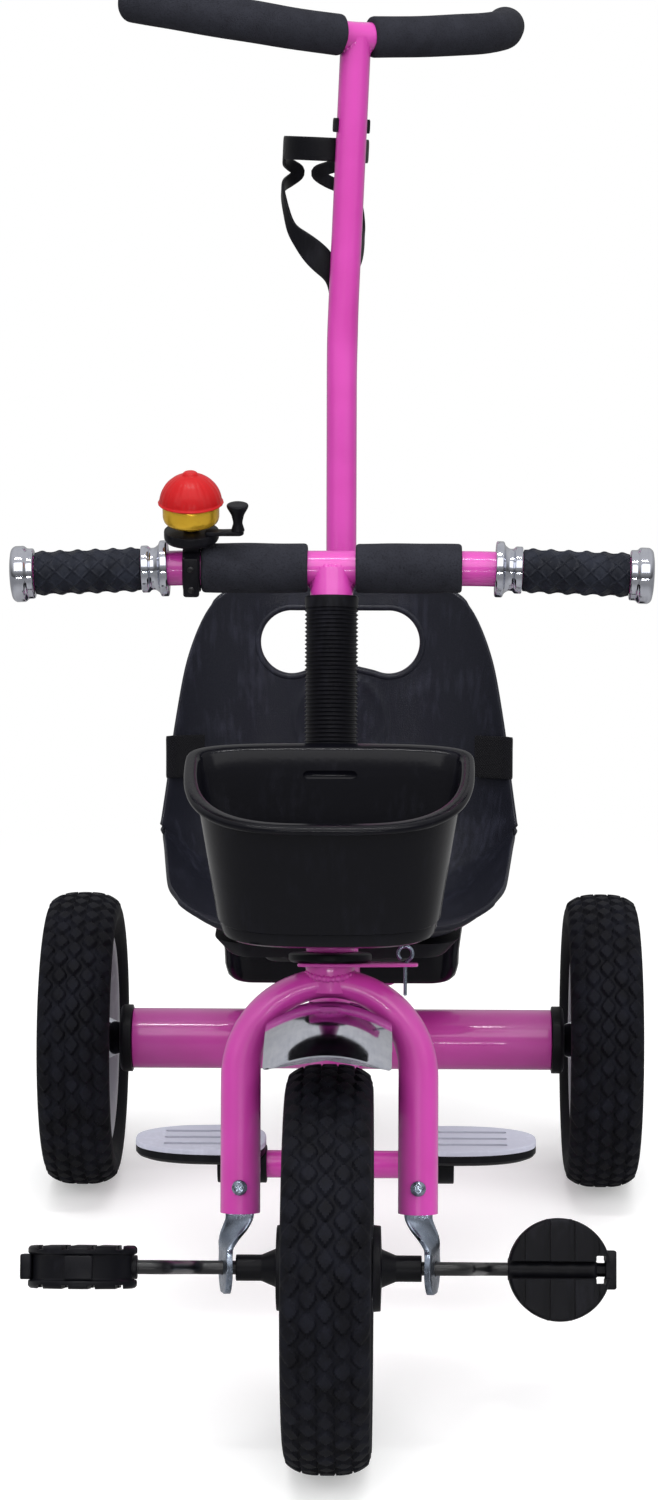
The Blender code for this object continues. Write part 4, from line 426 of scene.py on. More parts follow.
class Graph:
    """Node graph of a material or world: its nodes come from one method."""

    def __init__(self, owner):
        owner.use_nodes = True
        self.owner, self.tree = owner, owner.node_tree
        self.tree.nodes.clear()

    def node(self, kind, settings=None, values=None, output=0):
        """New node: its settings first, then the values or links of its sockets."""
        made = self.tree.nodes.new("ShaderNode" + kind)
        for name, setting in (settings or {}).items():
            setattr(made, name, setting)
        for socket, value in (values or {}).items():
            if isinstance(value, Wire):
                self.tree.links.new(value.socket, made.inputs[socket])
            else:
                made.inputs[socket].default_value = value
        return Wire(self, made.outputs[output]) if made.outputs else None

    def outputs(self, wire, *names):
        """Other outputs of the node behind a wire."""
        return [Wire(self, wire.socket.node.outputs[name]) for name in names]

    def place(self, scale=(1.0, 1.0, 1.0)):
        """Object coordinates in metres, stretched by a factor on each axis."""
        place = self.node("TexCoord", output="Object")
        return place if scale == (1.0, 1.0, 1.0) else self.node("Mapping", values={"Vector": place,
                                                                                   "Scale": scale})

    def noise(self, size, detail=2.0, roughness=0.5, scale=(1.0, 1.0, 1.0)):
        """Soft noise, 0 to 1, whose spots are about the given size in metres."""
        values = {"Vector": self.place(scale), "Scale": 1.0 / size, "Detail": detail, "Roughness": roughness}
        return self.node("TexNoise", values=values, output="Fac")

    def cells(self, size):
        """Distance to the nearest of scattered points, in units of the given size."""
        return self.node("TexVoronoi", values={"Vector": self.place(), "Scale": 1.0 / size},
                         output="Distance")

    def range(self, value, low, high, new_low=0.0, new_high=1.0):
        """The value's range carried to another, and held at its ends."""
        values = {"Value": value, "From Min": low, "From Max": high, "To Min": new_low, "To Max": new_high}
        return self.node("MapRange", {"clamp": True}, values)

    def mixed(self, factor, first, second):
        """Colour between two display colours."""
        return self.node("Mix", {"data_type": "RGBA"}, {0: factor, 6: srgb(*first), 7: srgb(*second)}, 2)

    def bumped(self, height, distance):
        """Normal of a relief of the given depth in metres."""
        return self.node("Bump", values={"Height": height, "Distance": distance, "Strength": 1.0})

    def finish(self, relief, depth, **values):
        """Principled surface over a relief; names are its sockets with _ for spaces."""
        sockets = {name.replace("_", " "): value for name, value in values.items()}
        surface = self.node("BsdfPrincipled", values=sockets | {"Normal": self.bumped(relief, depth)})
        self.node("OutputMaterial", values={"Surface": surface})
        return self.owner

    def shaded(self, shade, colours, rough, relief, depth, **values):
        """Surface whose colour and roughness go from the first value to the second with a shade."""
        return self.finish(relief, depth, Base_Color=self.mixed(shade, *colours),
                           Roughness=self.range(shade, 0.0, 1.0, *rough), **values)


def material(name):
    """Graph of a new material."""
    return Graph(bpy.data.materials.new(name))


# %% [markdown]
# The frame is steel with one coat of glossy enamel. Sprayed enamel is never quite flat: under a
# lamp it shows a slow ripple, and its colour deepens a little where it has pooled. A clear coat
# over a rough base gives the sharp highlight on a soft one.

# %% Painted steel
def enamel(name, colour, deep, roughness=0.34, coat=0.75):
    """Sprayed glossy paint with a slow ripple and a few dust specks."""
    graph = material(name)
    ripple, pooling = graph.noise(0.0045, 1.0), graph.noise(0.05)
    specks = graph.range(graph.cells(0.006), 0.0, 0.055, 1.0, 0.0)
    return graph.finish(ripple * 0.7 + specks * 0.1, 0.00007,
                        Base_Color=graph.mixed(graph.range(pooling, 0.35, 0.75), colour, deep),
                        Roughness=graph.range(pooling, 0.3, 0.7, roughness - 0.04, roughness + 0.05),
                        Coat_Weight=coat, Coat_Roughness=0.035, Specular_IOR_Level=0.45)


PINK = enamel("pink_enamel", (190, 60, 158), (179, 48, 145)), "pink_paint"
BLACK_STEEL = enamel("black_enamel", (15, 15, 19), (10, 10, 13), 0.38, 0.22), "black_paint"
print("painted steel ready")

# %% [markdown]
# Most plastics are moulded black. The glossy ones, basket and luggage box, show a faint flow
# ripple and fine wiping marks; the seat and the covers are etched with a fine leather-like grain,
# so their highlights are broad. That grain is a scattered cell pattern of about a millimetre.

# %% Moulded plastics
def moulded(name, colour, worn, roughness, grain, depth, specular=0.5):
    """Moulded plastic: etched grain, cloudy gloss and paler rubbed patches."""
    graph = material(name)
    etched = graph.cells(grain) * 0.7 + graph.noise(grain * 1.6, 3.0) * 0.6
    scuffs = graph.noise(0.004, 4.0, scale=(1.0, 1.0, 0.16))
    rubbed = graph.range(graph.noise(0.03, 3.0) * 0.5 + scuffs * 0.5, 0.52, 0.70)
    return graph.shaded(rubbed, (colour, worn), (roughness, roughness + 0.10), etched, depth,
                        Specular_IOR_Level=specular)


GLOSS_BLACK = moulded("gloss_black_plastic", (9, 9, 14), (15, 15, 22), 0.17, 0.003, 0.00003,
                      0.18), "black_plastic"
SEAT_BLACK = (moulded("grained_seat_plastic", (24, 25, 33), (38, 39, 50), 0.36, 0.0011, 0.00009, 0.26),
              "black_plastic")
SATIN_BLACK = (moulded("satin_black_plastic", (13, 13, 17), (23, 23, 29), 0.38, 0.0009, 0.00005, 0.14),
               "black_plastic")
GREY_PLASTIC = (moulded("grey_tread_plastic", (176, 177, 192), (190, 191, 206), 0.45, 0.0009, 0.00008, 0.35),
                "grey_plastic")
RIM_GREY = moulded("silver_rim_plastic", (150, 152, 158), (172, 174, 180), 0.30, 0.0014,
                   0.00004), "grey_plastic"
RED_PLASTIC = moulded("red_bell_plastic", (166, 18, 22), (176, 28, 31), 0.34, 0.0016, 0.00004,
                      0.20), "red_plastic"
print("plastics ready")

# %% [markdown]
# Foam on the handles is closed-cell rubber sponge: dead matte, with fine open pores where the
# skin was cut. Pores are two sizes of cells, deep enough to see close up, and their pits are
# painted darker than the skin round them, a painted shade. The tyres and grips are
# solid rubber: a dull sheen, a dusty bloom in the low places, and a fine cast texture.

# %% Foam and rubber
def sponge(name, colour, bloom):
    """Cut sponge rubber with pores of two sizes; the pits are bumped and also painted darker, a painted
    shade.
    """
    graph = material(name)
    fine = graph.range(graph.cells(0.0011), 0.0, 0.55)
    coarse = graph.range(graph.cells(0.0026), 0.0, 0.30)
    pores, cloud = fine * 0.6 + coarse * 0.5, graph.noise(0.012, 4.0)
    # Painted shade: the colour darkens in the pore pits; the cloud adds a random tone.
    shade = graph.range(pores * 0.6 + cloud * 0.5, 0.45, 1.0)
    return graph.shaded(shade, (colour, bloom), (0.97, 0.86), pores + cloud * 0.3, 0.0003,
                        Specular_IOR_Level=0.15)


def rubber(name, colour, bloom, roughness=0.62, size=0.001):
    """Cast rubber with a dusty bloom."""
    graph = material(name)
    cast, dust = graph.noise(size, 4.0, 0.6), graph.noise(0.018, 5.0, 0.6)
    shade = graph.range(dust * 0.7 + cast * 0.3, 0.42, 0.68)
    return graph.shaded(shade, (colour, bloom), (roughness, roughness + 0.18), cast, 0.0001,
                        Specular_IOR_Level=0.13)


FOAM = sponge("black_sponge", (23, 23, 28), (39, 40, 47)), "black_foam"
TYRE_RUBBER = rubber("tyre_rubber", (9, 9, 14), (22, 23, 31)), "tyre_rubber"
GRIP_RUBBER = rubber("grip_rubber", (20, 22, 29), (37, 40, 50), 0.42, 0.0007), "black_rubber"
print("foam and rubber ready")

# %% [markdown]
# Three bright metals are in view. The mudguard, collars and caps are chrome plate, nearly a mirror with
# faint hairlines; the twisted bars and screws are zinc plate, cloudy with spangles; the bell's
# cup is brass-coloured, brushed round and round.

# %% Bright metals
def plated(name, colour, dull, roughness, spread, depth, size, scale, metal=1.0):
    """Plated metal: cloudy gloss and a fine stretched relief."""
    graph = material(name)
    hairs, cloud = graph.noise(size, 4.0, scale=scale), graph.noise(0.011, 4.0, 0.6)
    shade = graph.range(cloud * 0.7 + hairs * 0.3, 0.38, 0.70)
    return graph.shaded(shade, (colour, dull), (roughness, roughness + spread), hairs, depth, Metallic=metal)


CHROME = (plated("chrome_plate", (206, 208, 217), (186, 189, 201), 0.08, 0.07, 0.000006, 0.002,
                 (1.0, 0.15, 0.15)),
          "chrome")
ZINC = (plated("zinc_plate", (158, 168, 184), (118, 128, 145), 0.22, 0.18, 0.00003, 0.0008, (1.0, 1.0, 0.2)),
        "zinc")
BRASS = (plated("brushed_brass", (238, 192, 58), (226, 176, 46), 0.20, 0.08, 0.00001, 0.0008,
                (0.12, 0.12, 4.0),
                0.65), "brass_finish")
print("metals ready")

# %% [markdown]
# The strap is woven webbing. Its weave follows the strap, so the strap's mesh carries two
# distances, along and across it, and the threads are sine waves of those: ribs every 1.6 mm that
# step by half a rib from row to row. The grooves between the ribs are painted darker than the
# ribs, a painted shade.

# %% Webbing
def webbing(name, colour, pale):
    """Narrow fabric: two sets of sine ribs that alternate, from the strap's own distances; the grooves
    between ribs are painted darker, a painted shade.
    """
    graph = material(name)
    weft, warp = ((graph.node("Attribute", {"attribute_name": way}, output="Fac")
                   * (2.0 * math.pi / pitch)).wave()
                  for way, pitch in (("along", 0.0016), ("across", 0.0021)))
    ribs = (weft * warp) * 0.5 + 0.5
    fuzz = graph.noise(0.0006, 3.0)
    # Painted shade: the colour follows the ribs, darker in the grooves between them; the fuzz is a random
    # tone.
    shade = graph.range(ribs * 0.7 + fuzz * 0.3, 0.2, 0.9)
    return graph.finish(ribs + fuzz * 0.3, 0.00035, Base_Color=graph.mixed(shade, colour, pale),
                        Roughness=0.88,
                        Sheen_Weight=0.06, Specular_IOR_Level=0.12)


STRAP = webbing("black_webbing", (8, 8, 11), (18, 18, 22)), "webbing"
print("webbing ready")

# %% [markdown]
# The camera stands where the photograph was taken from: a little over two metres in front, just
# above the push handle, looking down by fourteen degrees. Its place was worked out from
# the wheels and the handlebar, whose sizes are known.

# %% Camera
DOWN, ASIDE, ROLL = math.radians(13.755), math.radians(-1.156), math.radians(-0.056)
FOCAL_PIXELS, FRAME_HEIGHT = 3549.9, 1500.0
SENSOR = 36.0
CAMERA_X, CAMERA_BEFORE, CAMERA_HIGH = 0.0423, 2.0749, 0.968

ahead = Vector((math.sin(ASIDE) * math.cos(DOWN), math.cos(ASIDE) * math.cos(DOWN), -math.sin(DOWN)))
level_right = ahead.cross(Vector((0.0, 0.0, 1.0))).normalized()
right = level_right * math.cos(ROLL) + level_right.cross(ahead) * math.sin(ROLL)
camera_data = bpy.data.cameras.new("camera")
camera_data.sensor_width = SENSOR
camera_data.lens = SENSOR * FOCAL_PIXELS / FRAME_HEIGHT
camera = bpy.data.objects.new("camera", camera_data)
camera.matrix_world = Matrix((right, right.cross(ahead), -ahead)).transposed().to_4x4()
camera.location = (CAMERA_X, START_Y - CAMERA_BEFORE, CAMERA_HIGH)
bpy.context.scene.collection.objects.link(camera)
bpy.context.scene.camera = camera
print("lens", round(camera_data.lens, 1), "mm")

# %% [markdown]
# The tyre is one closed hoop. Its section is a rounded barrel; the tread is cut into staggered
# diamond blocks by a height that depends on the place round the wheel and across the tread. The
# grooves are as deep as the real ones, so that they show at the outline of the wheel too.

# %% Tyres and rims
FRONT_WIDTH, REAR_WIDTH, REAR_TRACK = 0.055, 0.054, 0.393
RIM_SHARE, TREAD_DEPTH = 0.755, 0.0026


def both_faces(profile):
    """Profile with its mirror image, for a piece whose two faces are alike."""
    return [(radius, -height) for radius, height in profile] + profile[::-1]


def tyre(radius, width, blocks, steps=9):
    """Hoop about X: a barrel section with diamond blocks.

    Across the tread, q runs -1 to 1 and the barrel's radius falls with |q| to the power of 3.2.
    In units of one block, a point stands high where |dx| ^ 1.2 + |dy| ^ 1.2 from the nearest
    block's middle is small, and falls off in a groove; odd rows are shifted by half a block.
    """
    half = width / 2.0
    q = np.concatenate([np.linspace(-1.0, -0.8, 8, endpoint=False), np.linspace(-0.8, 0.8, 61),
                        np.linspace(0.8, 1.0, 9)[1:]])
    shoulder = radius - TREAD_DEPTH - 0.0075 * np.abs(q) ** 3.2
    side = np.linspace(0.0, 1.0, 16)[1:]
    wall = shoulder[-1] + (radius * RIM_SHARE - shoulder[-1]) * side
    bulge = half * (0.955 + 0.045 * np.sin(np.pi * np.clip(side * 1.15, 0.0, 1.0)) - 0.28 * side ** 3)
    bulge += 0.00035 * (np.abs((side * 7.0) % 1.0 - 0.5) < 0.16)
    across = np.concatenate([-bulge[::-1], q * half * 0.955, bulge])
    place = np.pad(q, 15, "edge") * 2.5
    row = np.round(place)
    around = np.linspace(0.0, blocks, blocks * steps, endpoint=False)[:, None]
    dy = np.abs((around + 0.5 * (row % 2)) % 1.0 - 0.5)
    outside = (np.abs(place - row) / 0.53) ** 1.2 + (dy / 0.47) ** 1.2
    lift = (1.0 - blended(outside, 0.84, 1.06)) * np.pad(np.ones(len(q)), 15) * TREAD_DEPTH
    reach = np.concatenate([wall[::-1], shoulder, wall]) + lift
    angle = around / blocks * 2.0 * np.pi
    return skin(np.stack([np.broadcast_to(across, reach.shape), reach * np.sin(angle), reach * np.cos(angle)],
                         -1),
                wrap=True)


def wheel(name, nodes, centre, radius, width, blocks, body, hub_radius):
    """Tyre and rim of one wheel; the rim is a dished ring with a thin web."""
    at = shift(*centre)
    piece(name + "_tyre_tread", moved(tyre(radius, width, blocks), at), TYRE_RUBBER, body, nodes[0],
          crease=50.0)
    outer, half = radius * RIM_SHARE - 0.0003, width * 0.36
    inner = outer - 0.01
    face = [(hub_radius, 0.003), (inner - 0.016, 0.004), (inner - 0.005, 0.008), (inner, half),
            (inner + 0.003, half + 0.0016), (outer, half)]
    piece(name + "_rim_disc", lathe(both_faces(face), at @ along_x(), 96, 0.0022, True), RIM_GREY, body,
          nodes[1])


wheel("front", ("front_tyre", "front_rim"), FRONT_AXLE, 0.127, FRONT_WIDTH, 52, "front_wheel", 0.02)
for side, word in SIDES:
    wheel("rear_" + word, ("rear_tyre_" + word, "rear_rim_" + word), REAR_AXLE + [side * REAR_TRACK / 2, 0,
                                                                                  0],
          0.111, REAR_WIDTH, 46, "rear_wheel_" + word, 0.018)

# %% [markdown]
# The hubs are turned shapes. The front hub is black plastic with a flange on each side and a
# sleeve that fills the fork; the rear hubs are pressed chrome discs with a dish in the middle.

# %% Hubs, axle and bushes
FLANGE = FRONT_WIDTH / 2.0
hub_face = [(0.0046, 0.058), (0.0082, 0.058), (0.0082, 0.042), (0.012, FLANGE + 0.0055),
            (0.0265, FLANGE + 0.005),
            (0.027, FLANGE), (0.019, FLANGE)]
piece("front_hub_body", lathe(both_faces(hub_face), shift(*FRONT_AXLE) @ along_x(), 72, 0.0007, True),
      SATIN_BLACK,
      "front_wheel", "front_hub")

REAR_TUBE_HALF, BUSH_WIDTH, HUB_HALF = 0.1588, 0.009, REAR_WIDTH / 2.0
inner_face = -(REAR_TRACK / 2 - REAR_TUBE_HALF - 0.0003 - BUSH_WIDTH - 0.0006)
disc = [(0.0056, inner_face), (0.0115, inner_face), (0.0165, inner_face + 0.01), (0.04, -0.0105),
        (0.055, -0.01),
        (0.0598, -0.0075), (0.06, -0.0045), (0.0178, -0.0045), (0.0178, 0.0045), (0.06, 0.0045),
        (0.0598, 0.0075),
        (0.055, 0.01), (0.04, 0.0105), (0.0165, HUB_HALF - 0.004), (0.011, HUB_HALF), (0.0002, HUB_HALF),
        (0.0002, HUB_HALF - 0.0035), (0.0056, HUB_HALF - 0.0035)]
bush = [(0.0053, BUSH_WIDTH), (0.0235, BUSH_WIDTH), (0.0255, BUSH_WIDTH - 0.002), (0.0255, 0.0),
        (0.0205, 0.0),
        (0.0205, -0.012), (0.0053, -0.012)]
for side, word in SIDES:
    hub_at = shift(*(REAR_AXLE + [side * REAR_TRACK / 2, 0, 0])) @ along_x(side)
    bush_at = shift(*(REAR_AXLE + [side * (REAR_TUBE_HALF + 0.0003), 0, 0])) @ along_x(side)
    piece(f"rear_{word}_hub_disc", lathe(disc, hub_at, 96, 0.0018, True), CHROME, "rear_wheel_" + word,
          "rear_hub_" + word)
    piece("axle_bush_moulded_" + word, lathe(bush, bush_at, 64, 0.0008, True), SATIN_BLACK, "frame",
          "axle_bush_" + word)
axle_line = both_faces([(0.0, 0.2195), (0.0044, 0.2195), (0.005, 0.2185)])
piece("rear_axle_bar", lathe(axle_line, shift(*REAR_AXLE) @ along_x(), 32, 0.0004), ZINC, "frame",
      "rear_axle_rod")

# %% [markdown]
# The cranks, the front axle and both pedal spindles are one bent rod on such a tricycle, painted
# black. It is swept along straight stretches joined by bends of ten millimetres.

# %% Crank rod
CRANK_RADIUS, CRANK_ANGLE, CRANK_X = 0.078, math.radians(22.0), 0.086
PEDAL_START, PEDAL_END, PEDAL_RADIUS = 0.114, 0.184, 0.033

forward = np.array([0.0, -math.cos(CRANK_ANGLE), math.sin(CRANK_ANGLE)])
crank = forward * CRANK_RADIUS
half_rod = np.array([[CRANK_X, 0, 0], [CRANK_X + 0.012, 0, 0] - crank, [PEDAL_END - 0.008, 0, 0] - crank])
rod_path = dense(softened(np.vstack([-half_rod[::-1], half_rod]), 0.01, 10), 0.003)
piece("crank_bar", domed(rod_path, 0.0043, 24, 0.001, forward, shift(*FRONT_AXLE)), BLACK_STEEL,
      "front_wheel",
      "crank_rod")

# %% [markdown]
# Each pedal is a round moulding: two half-moon treads on a hub, with a bridge and two windows at
# its outer end. Its rim is hollowed between the faces, apart from a block in the middle of each
# half, and straight grooves make the faces grip. Channel, windows and grooves are cut out of the
# round body, as the mould leaves them. The left pedal hangs flat, the right one stands on edge.

# %% Pedals
PEDAL_HALF, PEDAL_TILT = 0.01275, -21.0
CHANNEL_HALF, WINDOW_IN, WINDOW_OUT = 0.0058, PEDAL_END - 0.0132, PEDAL_END - 0.0074
CHANNEL_DEEP, NOTCHES = 1.35 * (PEDAL_HALF - 0.0052), (-0.72, -0.24, 0.24, 0.72)

edge, rim = PEDAL_HALF - 0.0046, PEDAL_RADIUS - 0.0022
disc = both_faces([(0.0, -PEDAL_HALF), (PEDAL_RADIUS - 0.0015, -PEDAL_HALF),
                   (PEDAL_RADIUS, 0.0015 - PEDAL_HALF),
                   (PEDAL_RADIUS, -edge), (rim, 0.001 - edge)])
barrel = [(0.0, 0.0), (0.0072, 0.0), (0.0072, 0.056), (0.0045, 0.0575), (0.0045, 0.066), (0.0, 0.066)]
for side, word in SIDES:
    flat = WORLD if side < 0 else turn("X", 90.0)
    at = shift(*(FRONT_AXLE - side * crank)) @ turn("X", PEDAL_TILT) @ flat
    middle_x = side * (PEDAL_START + PEDAL_RADIUS)
    made = piece(f"pedal_{word}_tread", moved(lathe(disc, shift(middle_x), 96, 0.0008), at), SATIN_BLACK,
                 "pedal_" + word, "pedal_" + word)
    cutters = [box_shell((side * (PEDAL_START - 0.001), -CHANNEL_HALF, deep - 0.0052),
                         (side * (PEDAL_END + 0.001), CHANNEL_HALF, deep + 0.0052))
               for deep in (-CHANNEL_DEEP, CHANNEL_DEEP)]
    cutters += [box_shell((side * WINDOW_IN, row * 0.0056 - 0.0034, -0.05),
                          (side * WINDOW_OUT, row * 0.0056 + 0.0034, 0.05)) for row in (-1, 1)]
    for share in NOTCHES:
        x = middle_x + share * PEDAL_RADIUS
        cutters += [box_shell((x - 0.0021, -0.05, face * (PEDAL_HALF + 0.003)),
                              (x + 0.0021, 0.05, face * (PEDAL_HALF - 0.0024)), 0.0015) for face in (-1, 1)]
    carved(made, *(moved(cutter, at) for cutter in cutters))
    shells = [lathe(barrel, at @ shift(side * PEDAL_START) @ along_x(side), 40, 0.0006)]
    shells += [box_shell((middle_x - 0.0085, row * (PEDAL_RADIUS - 0.0065), -0.007),
                         (middle_x + 0.0085, row * (PEDAL_RADIUS - 0.0006), 0.007), 0.0008, at)
               for row in (-1, 1)]
    shells.append(box_shell((side * WINDOW_OUT, -0.0125, -0.0075), (side * (PEDAL_END - 0.0002), 0.0125,
                                                                    0.0075),
                            0.0015, at))
    piece(f"pedal_{word}_hub", shells, SATIN_BLACK, "pedal_" + word)

# %% [markdown]
# The fork is one tube bent into an arch. Its crown was pressed to go through the die: there the
# tube is squeezed towards the outside of the arch. A turned boss and the steerer are welded on
# top, so a lumpy weld bead runs round the foot of the boss.

# %% Fork
FORK_TUBE, FORK_HALF, FORK_WALL = 0.0125, 0.0555, 0.0018
LEG_START, CROWN, CROWN_SQUEEZE = 0.0345, 0.1745, 0.26
LOCK_LOW, LOCK_THICK, LOCK_REACH, LOCK_PIN_X = 0.1885, 0.002, 0.055, 0.047
HEAD_LOW, HEAD_HIGH = 0.1972, 0.275


def arch_path(half, leg_start, crown, count=61):
    """Inverted U in the XZ plane: a straight leg, a half circle, a straight leg."""
    x, z = arc(np.linspace(math.pi, 0.0, count), half).T
    leg = np.linspace(leg_start, crown - half, 24, endpoint=False)
    left = np.stack([np.full(24, -half), np.zeros(24), leg], -1)
    return np.vstack([left, np.stack([x, np.zeros(count), crown - half + z], -1), left[::-1] * [-1, 1, 1]])


def squeezed(points):
    """Points of the arched tube moved towards the outside of the arch, most at its crown.

    A point at a reach r from the arch's centre keeps its bearing; its distance from the outer
    line shrinks by the squeeze times the 1.5th power of its upward share.
    """
    centre, outside = [0.0, 0.0, CROWN - FORK_HALF], FORK_HALF + FORK_TUBE
    x, _, rise = (points - centre).T
    reach = np.hypot(x, rise)
    share = np.clip(rise / reach, 0.0, 1.0)
    scale = np.where(rise > 0.0, (outside - (outside - reach) * (1.0 - CROWN_SQUEEZE * share ** 1.5)) / reach,
                     1.0)
    return centre + (points - centre) * np.stack([scale, np.ones_like(scale), scale], -1)


def weld_bead(path, radius, lumps, matrix=WORLD):
    """Bead along a closed path: a small tube whose thickness swells once for each lump."""
    turns = full_turn(len(path)) * lumps
    swell = radius * (1.0 + 0.16 * np.sin(turns) + 0.07 * np.sin(turns * 0.37 + 1.0))
    return beaded(path, swell[:, None, None] * circle(1.0, 12), lambda ahead: square_to(ahead,
                                                                                        path - path.mean(0)),
                  matrix)


def saddle(pipe, branch, side=1, narrow=1.0):
    """Closed curve where a branch about Z meets a pipe about X: x and y go round the branch."""
    x, y = circle(branch, 180).T
    return np.stack([x, y * narrow, side * np.sqrt(np.maximum(pipe ** 2 - y ** 2, 0.0))], -1)


points, *faces = swept(arch_path(FORK_HALF, LEG_START, CROWN), circle(FORK_TUBE, 40), (0.0, 1.0, 0.0))
made = piece("fork_tube_arch", moved((squeezed(points), *faces), STEERING), PINK, "steering", "fork")
carved(made, *(rod(FORK_TUBE - FORK_WALL, LEG_START - 0.004, LEG_START + 0.012,
                   STEERING @ shift(side * FORK_HALF), 40,
                   0.0002) for side in (-1, 1)))
boss = lathe([(0.0, CROWN - 0.003), (0.0135, CROWN - 0.003), (0.015, LOCK_LOW - 0.004), (0.0155, LOCK_LOW),
              (0.01, LOCK_LOW + 0.001), (0.01, HEAD_HIGH + 0.03), (0.0, HEAD_HIGH + 0.03)], STEERING, 56,
             0.0008)
foot = at_height(circle(0.0142, 180), CROWN + FORK_TUBE - 0.0033)
foot[:, 2] -= 0.003 * np.sin(full_turn(180)) ** 2
piece("fork_boss_steerer", [boss, weld_bead(foot, 0.0021, 30, STEERING)], PINK, "steering")
lock_outline = softened([(-0.02, -0.02), (0.015, -0.024), (LOCK_REACH, -0.011), (LOCK_REACH, 0.011),
                         (0.015, 0.024),
                         (-0.02, 0.02)], 0.005, 6, closed=True)
made = piece("fork_lock_plate", plate(lock_outline, LOCK_LOW, LOCK_LOW + LOCK_THICK, 0.0005, STEERING), PINK,
             "steering")
carved(made, rod(0.00155, LOCK_LOW - 0.002, LOCK_LOW + 0.006, STEERING @ shift(LOCK_PIN_X), 24))

# %% [markdown]
# A flat zinc-plated bar carries the axle on each side. Its top sits in the leg, square to the
# front; below the leg it is twisted a quarter turn and joggled outwards, and it ends in an eye
# round the axle. A pan-head screw with a cross recess holds it in the leg.

# %% Twisted bars and screws
BAR_THICK, EYE_X, TWIST = 0.0045, 0.0645, math.radians(78.0)
EYE_RADIUS, EYE_TOP = 0.017, -0.024
# Depth below the leg's end, then the shares of the twist and of the step, and the half width.
BAR_WAY = np.array([(-0.036, 0.0, 0.0, 0.0095), (-0.006, 0.0, 0.0, 0.0095), (0.004, 0.10, 0.04, 0.00855),
                    (0.010, 0.35, 0.35, 0.00855), (0.016, 0.70, 0.75, 0.009), (0.021, 0.92, 0.98, 0.01125),
                    (0.026, 1.0, 1.0, 0.01125)])


def averaged(values):
    """Values averaged over nine neighbours."""
    return np.convolve(np.pad(values, 4, "edge"), np.hanning(9) / np.hanning(9).sum(), "valid")


def twisted_bar(side):
    """Bar with a rounded oblong section that turns and steps outwards as it goes down."""
    height = np.concatenate([np.linspace(0.036, -0.045, 90), np.linspace(-0.0455, -0.05, 12)])
    twist, step, width = (np.interp(-height, BAR_WAY[:, 0], column) for column in BAR_WAY.T[1:])
    twist, step = averaged(twist), averaged(step)[:, None]
    eye = np.sqrt(np.maximum(EYE_RADIUS ** 2 - (height + LEG_START) ** 2, 1e-8))
    width = np.where(height < EYE_TOP, np.clip(eye, 0.0016, EYE_RADIUS), width)
    width = np.where(height < EYE_TOP, width, averaged(width))
    outline = rounded_box(1.0, 1.0, 0.3, 6)
    across, deep = outline[:, 0] * width[:, None], outline[:, 1] * BAR_THICK / 2.0
    angle = (side * TWIST * twist)[:, None]
    x = side * (FORK_HALF + step * (EYE_X - FORK_HALF)) + across * np.cos(angle) - deep * np.sin(angle)
    y = across * np.sin(angle) + deep * np.cos(angle)
    return moved(skin(np.stack([x, y, np.broadcast_to(LEG_START + height[:, None], x.shape)], -1)), STEERING)


def pan_head(name, place, node=None, head=0.005, tall=0.0026, shank=0.006, finish=ZINC):
    """Pan-head screw along +Z of its place, with a cross cut into the head."""
    profile = [(0.0, tall), (head * 0.56, tall * 0.96), (head * 0.92, tall * 0.45), (head, 0.0), (0.002, 0.0),
               (0.002, -shank), (0.0, -shank)]
    made = piece(name, lathe(profile, place, 40, 0.0006), finish, "steering", node)
    bars = ((head * 0.62, head * 0.14), (head * 0.14, head * 0.62))
    carved(made, *(box_shell((-x, -y, 0.0), (x, y, 0.004), 0.0002, place @ shift(z=tall * 0.5)) for x,
                   y in bars))


for side, word in SIDES:
    made = piece("fork_end_bar_" + word, twisted_bar(side), ZINC, "steering", "dropout_" + word)
    carved(made, rod(0.0049, -0.01, 0.01, STEERING @ shift(side * EYE_X) @ along_x(), 36))
    pan_head("leg_screw_" + word, STEERING @ shift(side * FORK_HALF, -FORK_TUBE - 0.0003, LEG_START + 0.0165)
             @ turn("X", 90.0), "fork_screw_" + word)

# %% [markdown]
# The mudguard is a short strip of bright plate, domed across and bent round the wheel. It is
# waisted where the fork passes, and its edges are turned down a little.

# %% Mudguard
FENDER_RADIUS = CROWN + FORK_TUBE - 2.0 * FORK_TUBE * (1.0 - CROWN_SQUEEZE) - 0.0015
FENDER_HALF, FENDER_WAIST, FENDER_DROP, FENDER_THICK, FENDER_REACH = 0.039, 0.0125, 0.0125, 0.0012, 34.0


def mudguard():
    """Strip about the axle: its half width w(a) swells from the waist, its dome falls as x squared."""
    steps = np.concatenate([np.linspace(0.0, 4.8, 8), np.linspace(5.0, 6.6, 9), np.linspace(7.4, FENDER_REACH,
                                                                                            44)])
    degrees = np.concatenate([-steps[:0:-1], steps])[:, None]
    angle = np.radians(degrees)
    corner = np.clip((FENDER_REACH - np.abs(degrees)) / 2.2, 0.0, 1.0)
    width = FENDER_WAIST + (FENDER_HALF - FENDER_WAIST) * blended(np.abs(degrees), 5.0, 6.6)
    width = width - 0.006 * (1.0 - np.sqrt(1.0 - (1.0 - corner) ** 2))
    share = np.linspace(-1.0, 1.0, 49)
    x = width * np.concatenate([share, share[::-1]])
    radius = FENDER_RADIUS - np.repeat([0.0, FENDER_THICK], 49) - FENDER_DROP * (x / FENDER_HALF) ** 2
    return skin(np.stack([x, -radius * np.sin(angle), radius * np.cos(angle)], -1))


piece("mudguard_strip", moved(mudguard(), STEERING), CHROME, "steering", "fender")

# %% [markdown]
# Between fork and stem are turned parts: a wide black cover below, the painted head tube, and a
# smaller cover on top. Each is a profile with rounded rims.

